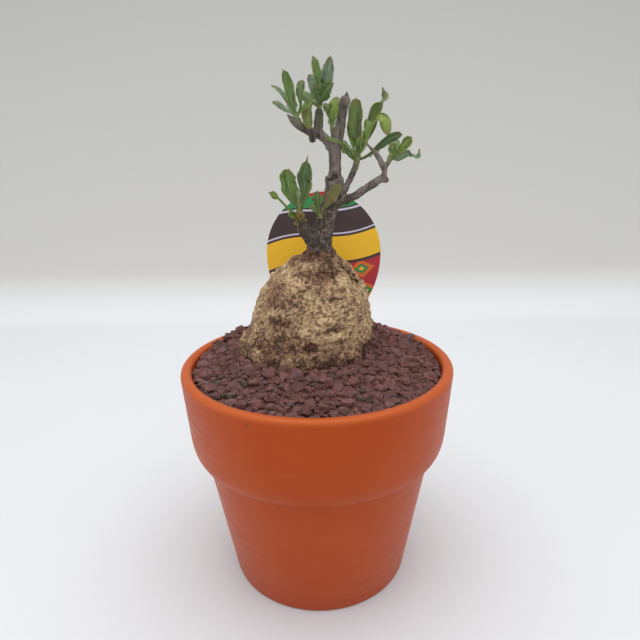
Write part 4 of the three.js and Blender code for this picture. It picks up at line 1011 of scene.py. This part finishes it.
# each shoot in millimetres: the [x, y, z, radius] stations of its young stem, then its leaves
SHOOTS = {
    "leaves_low_shoot": [
        [(-6.15, -7.95, 179.2, 1.95), (-6.4, -8.2, 180.9, 1.9), (-6.6, -8.4, 183.1, 0.9)],
        leaf_on(
            6.1, (-6.2, -8.2, 180.3), (-4.7, -9, 187.3), (-4, -9.6, 191.9), (-4.2, -10.2, 195.2),
            (-3.5, -10.8, 198.5), (-3, -11.4, 201.8), (-2.1, -12, 205.2),
            roll=12, arch=0.03, drip=0.11, peak=0.6, blunt=0.6, tone=0.1,
        ),
        leaf_on(
            7, (-6.2, -8.2, 180.3), (-7.9, -9, 185.2), (-9.7, -10.4, 190), (-10.2, -11.8, 194.6),
            (-10.3, -13.1, 197.9), (-10, -14.5, 200.1),
            roll=-12, arch=0.03, peak=0.64, blunt=0.45, tone=0.4,
        ),
        leaf_on(
            3.4, (-6.8, -8.2, 180.1), (-10.9, -10, 183.1), (-13.1, -11.4, 185.5), (-15.1, -12.8, 187.8),
            (-16.9, -14.1, 189.2), (-18.7, -15.5, 190.8),
            roll=25, arch=0.02, petiole=0.6, drip=0.05, blunt=0.5, tone=0.55,
        ),
        leaf_on(2.8, (-6.8, -8, 180), (-9.6, -10, 180.3), (-11.1, -12, 182), roll=30, tone=0.3),
        leaf_on(1.7, (-5.6, -9.2, 178.6), (-4.2, -11, 181.2), roll=-20, tone=0.2, dry=2.5),
        leaf_on(1.9, (-6.6, -9.6, 179), (-6.9, -11.4, 182), roll=10, tone=0.3, dry=2.5),
        leaf_on(1.6, (-7.6, -9, 178.4), (-9.5, -10.6, 180.4), roll=30, tone=0.2, dry=2.5),
        leaf_on(1.5, (-5, -8.6, 177.2), (-3, -10, 178.6), roll=-30, tone=0.1, dry=2.5),
        leaf_on(1.6, (-6.9, -9.4, 176.6), (-8.9, -11, 177.2), roll=15, tone=0.1, dry=2.5),
        leaf_on(5, (-6, -7.8, 180.1), (-1.4, -1.2, 194.7), roll=-25, tone=0.3),
        leaf_on(5.4, (-6.4, -7.8, 180.1), (-10, 4, 193.3), roll=160, tone=0.4),
    ],
    "leaves_trunk_sprout": [
        [(2.55, -5.95, 179.5, 1.1), (2.2, -6.7, 180.3, 1), (2, -7.2, 181.3, 0.6)],
        leaf_on(
            4.7, (2.3, -6.7, 180.2), (11.4, -8.6, 193.7),
            roll=10, arch=0.05, peak=0.66, tone=0.1, dry=0.75,
        ),
        leaf_on(4.6, (2.2, -6.9, 180.3), (1.6, -7.8, 190.7), roll=-30, peak=0.7, tone=0.15, dry=0.2),
        leaf_on(2.4, (2.1, -6.9, 180.2), (-2.6, -13.5, 185.3), roll=20, tone=0.3),
    ],
    "leaves_left_branch": [
        [(-6.55, -6.85, 220.05, 1.1), (-6.8, -7, 221.3, 1), (-7, -7.1, 222.5, 0.6)],
        leaf_on(
            4, (-6.7, -7.1, 221.3), (-7.6, -8, 224.3), (-8.7, -8.8, 227.6), (-9.1, -9.6, 230.6),
            (-9.9, -10.4, 233.5), (-10.6, -11.2, 235.9), (-11.4, -12, 238.1),
            roll=5, arch=0.02, drip=0.06, peak=0.52, blunt=0.36, tone=0.35,
        ),
        leaf_on(
            1.9, (-7, -6.9, 221.1), (-8.8, -6.8, 224), (-10.7, -6.3, 226.9), (-12.7, -5.9, 229.9),
            (-14.7, -5.5, 231.7), (-16.7, -5, 232.9),
            roll=15, arch=0.02, peak=0.55, blunt=0.7, tone=0.3, bloom=0.45,
        ),
        leaf_on(
            2.2, (-7.1, -7.1, 220.9), (-8.8, -7.6, 222.2), (-10.7, -8.7, 223.1), (-12.7, -9.8, 224.5),
            (-14.2, -10.9, 225.5), (-16.1, -12, 226),
            roll=165, arch=0, peak=0.66, blunt=0.42, tone=0.45, bloom=0.4,
        ),
        leaf_on(
            3.5, (-6.2, -6.9, 221.4), (-4.8, -6.6, 224.1), (-4.8, -5.7, 227.5), (-5, -4.8, 229.8),
            (-4.5, -3.9, 232.6), (-4, -3, 235.1),
            roll=-8, arch=0.03, petiole=0.2, peak=0.72, blunt=0.36, tone=0.15,
        ),
        leaf_on(
            3, (-6.4, -7.2, 221), (-3.4, -7.6, 223.5), (-1.3, -8.3, 225.5), (0.4, -9, 227.3),
            roll=-15, arch=0.05, blunt=0.6, tone=0.45,
        ),
        leaf_on(4.6, (-6.7, -6.6, 221), (-10.6, 2.6, 230.1), roll=165, tone=0.3),
    ],
    "leaves_crown_shoot": [
        [(2.95, -1.95, 223.7, 1.15), (3.1, -1.8, 225.3, 1.05), (3.3, -1.7, 227.3, 0.7)],
        leaf_on(
            3.7, (3.1, -1.8, 225.3), (3.3, -1.2, 229.3), (2.9, -0.7, 233.2), (2.4, -0.2, 236.7),
            (1.7, 0.4, 239.9), (1.1, 0.9, 242.6), (0.5, 1.4, 244.7),
            roll=8, arch=0.02, drip=0.02, peak=0.5, blunt=0.66, tone=0.3,
        ),
        leaf_on(
            5.3, (3.1, -1.8, 225.3), (4.8, -2.2, 229.2), (6, -3, 233.3), (6.6, -3.7, 237), (7.3, -4.5, 240.3),
            (7.7, -5.2, 243.7),
            roll=-12, arch=0, drip=0.02, peak=0.5, blunt=0.62, tone=0.15, bloom=0.45,
        ),
        leaf_on(
            6, (3.5, -2, 224.9), (4.6, -3, 227.9), (6, -4.8, 230.2), (7.4, -6.7, 231.9), (8.9, -8.5, 233),
            roll=5, arch=0.06, drip=0.02, peak=0.52, blunt=0.75, tone=0.15,
        ),
        leaf_on(
            3.4, (3, -2.2, 225.1), (1.8, -3, 227.6), (0.7, -4.5, 230.2), (0.1, -6, 233.1),
            (-0.4, -7.5, 235.1), (-1.3, -9, 236.2),
            roll=160, arch=0, peak=0.6, blunt=0.5, tone=0.4, bloom=0.4,
        ),
        leaf_on(
            4.4, (3.1, -2.2, 225), (2.6, -3, 228), (2.2, -4.8, 230.9), (2, -6.5, 233.2),
            peak=0.6, tone=0.2,
        ),
        leaf_on(
            4.3, (2.7, -2.6, 224.6), (0.1, -3.4, 226), (-1.8, -4.6, 224.2), (-2.3, -5.8, 221.2),
            (-1.9, -6.8, 218.2), (-1.3, -7.6, 215.1),
            arch=0, petiole=0.16, peak=0.62, blunt=0.5, tone=0.25, dry=0.45,
        ),
        leaf_on(5.4, (3.2, -1.5, 225.1), (3.6, 9.2, 236.7), roll=175, tone=0.3),
        leaf_on(4.2, (3, -1.9, 224.7), (-5.6, 3.4, 230.9), roll=150, tone=0.4),
    ],
    "leaves_back_shoot": [
        [(8.45, 2.95, 215.3, 0.95), (8.3, 3.3, 216.7, 0.9), (8.2, 3.6, 218.1, 0.6)],
        leaf_on(5.2, (8.3, 3.4, 216.9), (10.8, 6, 229.3), roll=-5, peak=0.62, blunt=0.5, tone=0.75),
        leaf_on(4.2, (8.2, 3.5, 216.9), (5.4, 8, 226.9), roll=25, petiole=0.25, tone=0.45),
        leaf_on(4.4, (8.3, 3.6, 216.7), (9, 14.2, 222.9), roll=170, tone=0.4),
    ],
    "leaves_middle_branch": [
        [(19.15, 5.05, 201.5, 1.45), (19.6, 5.1, 204.1, 1.6), (20, 5, 207.7, 0.8)],
        leaf_on(
            6.1, (19.6, 5.1, 203.3), (19.2, 4.6, 209.1), (18.6, 4, 213.7), (18.3, 3.5, 218.6),
            (18.5, 2.9, 223.5), (18.6, 2.4, 228.6),
            arch=0.02, peak=0.66, blunt=0.3, tone=0.25, dry=0.2,
        ),
        leaf_on(
            2.9, (19.3, 5, 203.1), (17.4, 4, 208.7), (16.3, 3.5, 212.9), (15.9, 3.1, 216.6),
            (15.7, 2.6, 219.6),
            roll=20, arch=0.02, blunt=0.5, tone=0.55,
        ),
        leaf_on(
            4, (19.5, 4.8, 203.1), (20.6, 3.4, 207), (20.5, 1.8, 210.3), (19.9, 0.2, 213),
            roll=-8, arch=0.08, peak=0.66, tone=0.5,
        ),
        leaf_on(
            4.6, (19.8, 5.1, 203.5), (21.6, 4.9, 208.1), (23.4, 4.3, 212.4), (25.1, 3.7, 216.5),
            (26.3, 3.1, 220.9), (27.7, 2.4, 224.5), (29.8, 1.8, 227), (30.9, 1.2, 229.5), (29.6, 0.6, 232.1),
            roll=10, twist=250, twist_from=0.6, arch=0, petiole=0.2, drip=0.01, peak=0.4, blunt=0.55,
            tone=0.3, dry=0.2,
        ),
        leaf_on(
            3.7, (19.8, 5, 202.9), (22.9, 4, 203.8), (25.8, 2.4, 206.1), (29.1, 0.7, 208.7),
            (32.3, -0.9, 211.1), (35.5, -2.6, 212.7), (38.2, -4.2, 213),
            roll=30, arch=0, petiole=0.26, peak=0.68, blunt=0.42, tone=0.15, bloom=0.1,
        ),
        leaf_on(
            1.8, (19.2, 4.8, 202.7), (17.1, 3, 205), (14.3, -0.4, 208.1), (10.7, -4.5, 210.4),
            (7.2, -6, 211.5), (4.6, -7, 211.9),
            roll=20, arch=0, blunt=0.6, tone=0.3,
        ),
        leaf_on(
            1.3, (19.2, 4.8, 202.5), (16.2, 3, 204.1), (14.3, 0.5, 206.3), (12.7, -2.2, 208.3),
            roll=30, arch=0, blunt=0.8, tone=0.4,
        ),
        leaf_on(5.6, (19.6, 5.4, 203.1), (23, 15, 215.7), roll=170, tone=0.4),
        leaf_on(4.8, (19.2, 5.3, 202.9), (12.8, 13.4, 211.9), roll=195, tone=0.35),
        leaf_on(4.8, (19.8, 5.4, 202.9), (30.4, 9, 209.7), roll=120, tone=0.3),
    ],
    "leaves_right_spur": [
        [(23.05, -2.62, 209.75, 0.6), (22.7, -2.4, 210.4, 0.6), (22.4, -2.2, 211.2, 0.45)],
        leaf_on(
            4.7, (22.7, -2.4, 210.4), (23.7, -3, 213.4), (24.7, -3.7, 216.2), (26.3, -4.3, 218.5),
            (28.3, -5, 220), (30, -5.7, 218.6), (30.8, -6.3, 215.6), (31.5, -7, 212.3),
            arch=0, petiole=0.46, peak=0.58, blunt=0.45, tone=0.75, dry=0.15,
        ),
        leaf_on(
            3.4, (22.7, -2.4, 210.4), (22.9, -1.5, 213.9), (23.3, -0.5, 216.8), (23.1, 0.5, 219.8),
            roll=15, arch=0.03, blunt=0.6, tone=0.55,
        ),
    ],
    "leaves_right_branch": [
        [(32.55, -5.95, 202.9, 1.2), (32.9, -5.9, 203.8, 1.35), (33.3, -5.9, 205.5, 0.8)],
        leaf_on(
            4.1, (33, -6, 203.5), (35.8, -7.5, 205.5), (38.1, -9, 208.1), (39.8, -10.5, 210.4),
            (40.7, -12, 211.8),
            roll=-5, arch=0.04, peak=0.68, blunt=0.4, tone=0.65,
        ),
        leaf_on(
            3.9, (32.8, -6.2, 203.5), (33.7, -8, 205.4), (32.8, -10.7, 207.6), (32.3, -13.4, 209.5),
            roll=10, arch=0.03, peak=0.68, blunt=0.32, tone=0.55,
        ),
        leaf_on(
            2.8, (33, -6, 203.3), (35.4, -7, 203.1), (37.6, -7.5, 204.3), (39.8, -8, 205.6),
            (42, -8.6, 204.8), (44.3, -9.1, 204.4), (44.4, -9.6, 207),
            roll=30, twist=250, twist_from=0.52, arch=0, petiole=0.12, drip=0.01, peak=0.42, blunt=0.5,
            tone=0.35, bloom=0.45,
        ),
        leaf_on(5, (32.9, -5.7, 203.4), (36.6, 4, 212.3), roll=170, tone=0.4),
        leaf_on(4.2, (32.7, -5.7, 203.3), (38.4, 5.4, 207.9), roll=190, tone=0.35),
    ],
}
# a leaf longer than this, in millimetres, has 2.9 waves instead of 2.1
LONG_LEAF = 13
# half the width of a leaf's stalk, in millimetres
STALK = 0.45
# how far the sides of the blade rise from the midrib, as a share of their width
FOLD = 0.34


def blade_share(along, petiole, drip, peak, blunt):
    """The blade's width along its length, as a share of its greatest width."""
    u = min(1.0, (along - petiole) / (1 - petiole - drip))
    if u <= 0:
        return 0.0
    return (u / peak) ** (blunt * peak / (1 - peak)) * ((1 - u) / (1 - peak)) ** blunt


def centre_line(path, along):
    """A point on the smooth line through a leaf's points, and the way that the line runs there."""
    spans = len(path) - 1
    i = min(int(along * spans), spans - 1)
    t = along * spans - i
    a, b = Vector(path[i]), Vector(path[i + 1])
    before = Vector(path[i - 1]) if i else 2 * a - b
    after = Vector(path[i + 2]) if i + 2 <= spans else 2 * b - a
    leaving, reaching = (b - before) / 2, (after - a) / 2
    square = 3 * (b - a) - 2 * leaving - reaching
    cube = leaving + reaching - 2 * (b - a)
    point = a + leaving * t + square * t**2 + cube * t**3
    return point, (leaving + 2 * square * t + 3 * cube * t**2).normalized()


def leaf_point(across, along, shape, wave, phases):
    """A point of a crisped blade, from across -1 to 1 and along 0 to 1, in millimetres."""
    path, width = shape.path, shape.width
    centre, axis = centre_line(path, along)
    run = sum((Vector(end) - Vector(start)).length for start, end in zip(path, path[1:]))
    front = Vector((0, -1, 0.35))
    front = (front - axis * front.dot(axis)).normalized()
    bow = Matrix.Rotation(math.radians(shape.roll), 3, axis) @ front
    spin = shape.twist * max(0, along - shape.twist_from) / (1 - shape.twist_from)
    normal = Matrix.Rotation(math.radians(shape.roll + spin), 3, axis) @ front
    share = blade_share(along, shape.petiole, shape.drip, shape.peak, shape.blunt)
    edge = abs(across)
    slow, fast = phases[:2] if across < 0 else phases[2:]
    turn = 2 * math.pi * (2.9 if run > LONG_LEAF else 2.1) * along
    crisp = 0.62 * math.cos(turn + slow) + 0.38 * math.cos(2.1 * turn + fast)
    scallop = 1 + 0.05 * math.cos(1.3 * turn + fast + 1) * edge
    least = STALK if along < 0.6 else STALK - 0.35 * smoothstep(0.85, 1.0, along)
    reach = max(least, width / 2 * share * scallop)
    rise = FOLD * reach * edge + 1.15 * wave * width * share * crisp * edge**1.7
    offset = run * shape.arch * math.sin(math.pi * along)
    return centre + axis.cross(normal) * (across * reach) + normal * rise + bow * offset


def leaf(name, shape, settings, materials, phases):
    """One blade: a grid bent to its place, thickest along the midrib, with both faces."""
    add = bpy.ops.mesh.primitive_grid_add
    piece = add_object(name, add, x_subdivisions=12, y_subdivisions=44, size=2, calc_uvs=True)
    weights = []
    for corner in piece.data.vertices:
        across, along = corner.co.x, (corner.co.y + 1) / 2
        weights.append(1 - 0.55 * min(1, abs(across) * 2.2) * smoothstep(0.05, 0.3, along))
        corner.co = leaf_point(across, along, shape, settings.wave, phases) * MM
    weigh(piece, "rib", weights)
    for material in materials:
        piece.data.materials.append(material)
    faces = {"use_even_offset": False, "material_offset": 1, "material_offset_rim": 0}
    modify(piece, "SOLIDIFY", thickness=settings.thickness, offset=0, vertex_group="rib", **faces)
    dress(piece, shape.tone, shape.bloom, shape.dry)
    return piece


def dress(piece, tone, bloom=0.0, dry=0.0):
    """Gives each point of a leaf or stem its tone, its painted sheen and its dryness."""
    for name, value in (("tone", tone), ("bloom", bloom), ("dry", dry)):
        store(piece, name, [value] * len(piece.data.vertices))


class FOCKEA_OT_leaves(bpy.types.Operator):
    """Grow the leafy shoots at the branch ends"""

    bl_idname = "fockea.leaves"
    bl_label = "Leafy shoots"

    def execute(self, context):
        s = context.scene.fockea_leaf
        draw = random.Random(s.seed)
        materials = [leaf_blade(s), leaf_blade(s, underside=True)]
        for node, (stations, *shapes) in SHOOTS.items():
            # the stem starts inside the wood
            foot, second = stations[:2]
            sunk = [2.2 * a - 1.2 * b for a, b in zip(foot[:3], second[:3])]
            stem = tube(f"{node}_blades", [(*sunk, 0.85 * foot[3]), *stations])
            stem.data.materials.append(materials[1])
            dress(stem, 0.5, dry=1.0 if node == "leaves_low_shoot" else 0.45)
            blades = []
            for i, shape in enumerate(shapes):
                phases = [draw.uniform(0, 6.3) for _ in range(4)]
                blades.append(leaf(f"{node}_{i}", shape, s, materials, phases))
            activate(stem, *blades)
            bpy.ops.object.join()
            shade_smooth(stem, 60)
            finish_piece(stem, "young_leaf" if node == "leaves_right_spur" else "leaf", node)
        return {"FINISHED"}


# ---- plant label ----

LABEL_PLACE = Matrix.Translation(Vector((4.3, 36.5, 155.3)) * MM)
LABEL_LEAN = 4  # degrees back
PRINT_SLOPE = 11  # degrees uphill to the right
LABEL_TURN = Matrix.Rotation(math.radians(90 - LABEL_LEAN), 4, "X")
PRINT_TURN = LABEL_TURN @ Matrix.Rotation(math.radians(PRINT_SLOPE), 4, "Z")


class FOCKEA_OT_label(bpy.types.Operator):
    """Cut the plant label and push it in behind the caudex"""

    bl_idname = "fockea.label"
    bl_label = "Plant label"

    def execute(self, context):
        s = context.scene.fockea_label
        add = bpy.ops.mesh.primitive_circle_add
        piece = add_object("label_card", add, vertices=120, radius=1, fill_type="NGON")
        # the stake grows from the edges at the foot of the oval
        neck = 0.56 * s.stake_width + 3 * MM
        with editing(piece) as mesh:
            for corner in mesh.verts:
                corner.co.x *= s.width / 2
                corner.co.y *= s.upper if corner.co.y > 0 else s.lower
            select_edges(piece, mesh, lambda co: abs(co.x) < neck and co.y < 0)
            low = -s.lower
            for down, narrower in ((2 * MM, 0.66), (0.7 * s.stake_length, 1.0), (0.3 * s.stake_length, 0.08)):
                low -= down
                bpy.ops.mesh.extrude_edges_move(TRANSFORM_OT_translate={"value": (0, -down, 0)})
                bpy.ops.transform.resize(value=(narrower, 1, 1), center_override=(0, low, 0))
        piece.matrix_world = LABEL_PLACE @ LABEL_TURN
        settle(piece)
        modify(piece, "SOLIDIFY", thickness=s.thickness, offset=0)
        modify(piece, "BEVEL", width=0.15 * MM, segments=2, limit_method="ANGLE")
        shade_smooth(piece, 30)
        material = printed_card(s, LABEL_PLACE @ PRINT_TURN)
        finish_piece(piece, "label_card", "plant_label", material=material)
        return {"FINISHED"}


# ---- stage ----

BACKDROP_SIZE = 3.0
BACKDROP_HEIGHT = 2.0
# the backdrop's floor ends here, behind the plant
WALL_Y = 0.46
# the tent's lights: place, size, power and tint
LIGHTS = {
    "Tent top": ((0.0, 0.05, 0.95), 1.1, 7.5, "#FFFCF6"),
    "Tent front": ((0.12, -0.9, 0.85), 0.8, 1.3, "#FFFDFA"),
    "Tent left": ((-0.9, -0.2, 0.35), 0.7, 1.1, "#FFFFFF"),
    "Tent right": ((0.9, -0.2, 0.35), 0.7, 0.8, "#FFFFFF"),
}
LIT_POINT = Vector((0, 0, 0.12))
CAMERA_PLACE = Vector((1.8, -244.6, 206.7)) * MM
CAMERA_PITCH = 17.43  # degrees down
CAMERA_ROLL = -0.92
CAMERA_LENS = 30.2  # on a sensor 36 mm wide


class FOCKEA_OT_stage(bpy.types.Operator):
    """Set up the backdrop, the soft lights and the camera"""

    bl_idname = "fockea.stage"
    bl_label = "Stage"

    def execute(self, context):
        scene = context.scene
        add, middle = bpy.ops.mesh.primitive_plane_add, (0, WALL_Y - BACKDROP_SIZE / 2, 0)
        backdrop = add_object("backdrop", add, size=BACKDROP_SIZE, location=middle)
        settle(backdrop)
        with editing(backdrop) as mesh:
            select_edges(backdrop, mesh, lambda co: co.y > 0)
            bpy.ops.mesh.extrude_edges_move(TRANSFORM_OT_translate={"value": (0, 0, BACKDROP_HEIGHT)})
        modify(backdrop, "BEVEL", width=0.06, segments=24, limit_method="ANGLE")
        shade_smooth(backdrop)
        backdrop.data.materials.append(tent_cloth())

        world = bpy.data.worlds.new("Light tent")
        world.use_nodes = True
        background = world.node_tree.nodes["Background"].inputs
        background["Color"].default_value = linear("#F2F5FA")
        background["Strength"].default_value = 0.71
        scene.world = world
        for name, (place, size, power, tint) in LIGHTS.items():
            light = add_object(name, bpy.ops.object.light_add, type="AREA", location=place)
            light.data.size = size
            light.data.energy = power
            light.data.color = linear(tint)[:3]
            light.rotation_euler = (LIT_POINT - Vector(place)).to_track_quat("-Z", "Y").to_euler()

        camera = add_object("Camera", bpy.ops.object.camera_add, location=CAMERA_PLACE)
        pitch = Quaternion((1, 0, 0), math.radians(90 - CAMERA_PITCH))
        camera.rotation_euler = (pitch @ Quaternion((0, 0, 1), math.radians(CAMERA_ROLL))).to_euler()
        camera.data.sensor_width = 36
        camera.data.lens = CAMERA_LENS
        camera.data.clip_start = 0.01
        scene.camera = camera
        scene.view_settings.view_transform = "Standard"
        return {"FINISHED"}


# ---- panel and registration ----


class FOCKEA_PT_panel(bpy.types.Panel):
    """Lists the pieces of the plant"""

    bl_idname = "FOCKEA_PT_panel"
    bl_label = "Potted Fockea"
    bl_space_type = "VIEW_3D"
    bl_region_type = "UI"
    bl_category = "Fockea"

    def draw(self, context):
        for operator in OPERATORS:
            self.layout.operator(operator.bl_idname)


SETTINGS = {
    "fockea_pot": FockeaPotSettings,
    "fockea_gravel": FockeaGravelSettings,
    "fockea_caudex": FockeaCaudexSettings,
    "fockea_wood": FockeaWoodSettings,
    "fockea_leaf": FockeaLeafSettings,
    "fockea_label": FockeaLabelSettings,
}
OPERATORS = (
    FOCKEA_OT_pot,
    FOCKEA_OT_gravel,
    FOCKEA_OT_caudex,
    FOCKEA_OT_wood,
    FOCKEA_OT_leaves,
    FOCKEA_OT_label,
    FOCKEA_OT_stage,
)


def register():
    for made in (*SETTINGS.values(), *OPERATORS, FOCKEA_PT_panel):
        bpy.utils.register_class(made)
    for name, group in SETTINGS.items():
        setattr(bpy.types.Scene, name, PointerProperty(type=group))


def unregister():
    for name in SETTINGS:
        delattr(bpy.types.Scene, name)
    for made in reversed((*SETTINGS.values(), *OPERATORS, FOCKEA_PT_panel)):
        bpy.utils.unregister_class(made)


def main():
    """Builds every piece in order."""
    register()
    bpy.ops.fockea.pot()
    bpy.ops.fockea.gravel()
    bpy.ops.fockea.caudex()
    bpy.ops.fockea.wood()
    bpy.ops.fockea.leaves()
    bpy.ops.fockea.label()
    bpy.ops.fockea.stage()


if __name__ == "__main__":
    main()
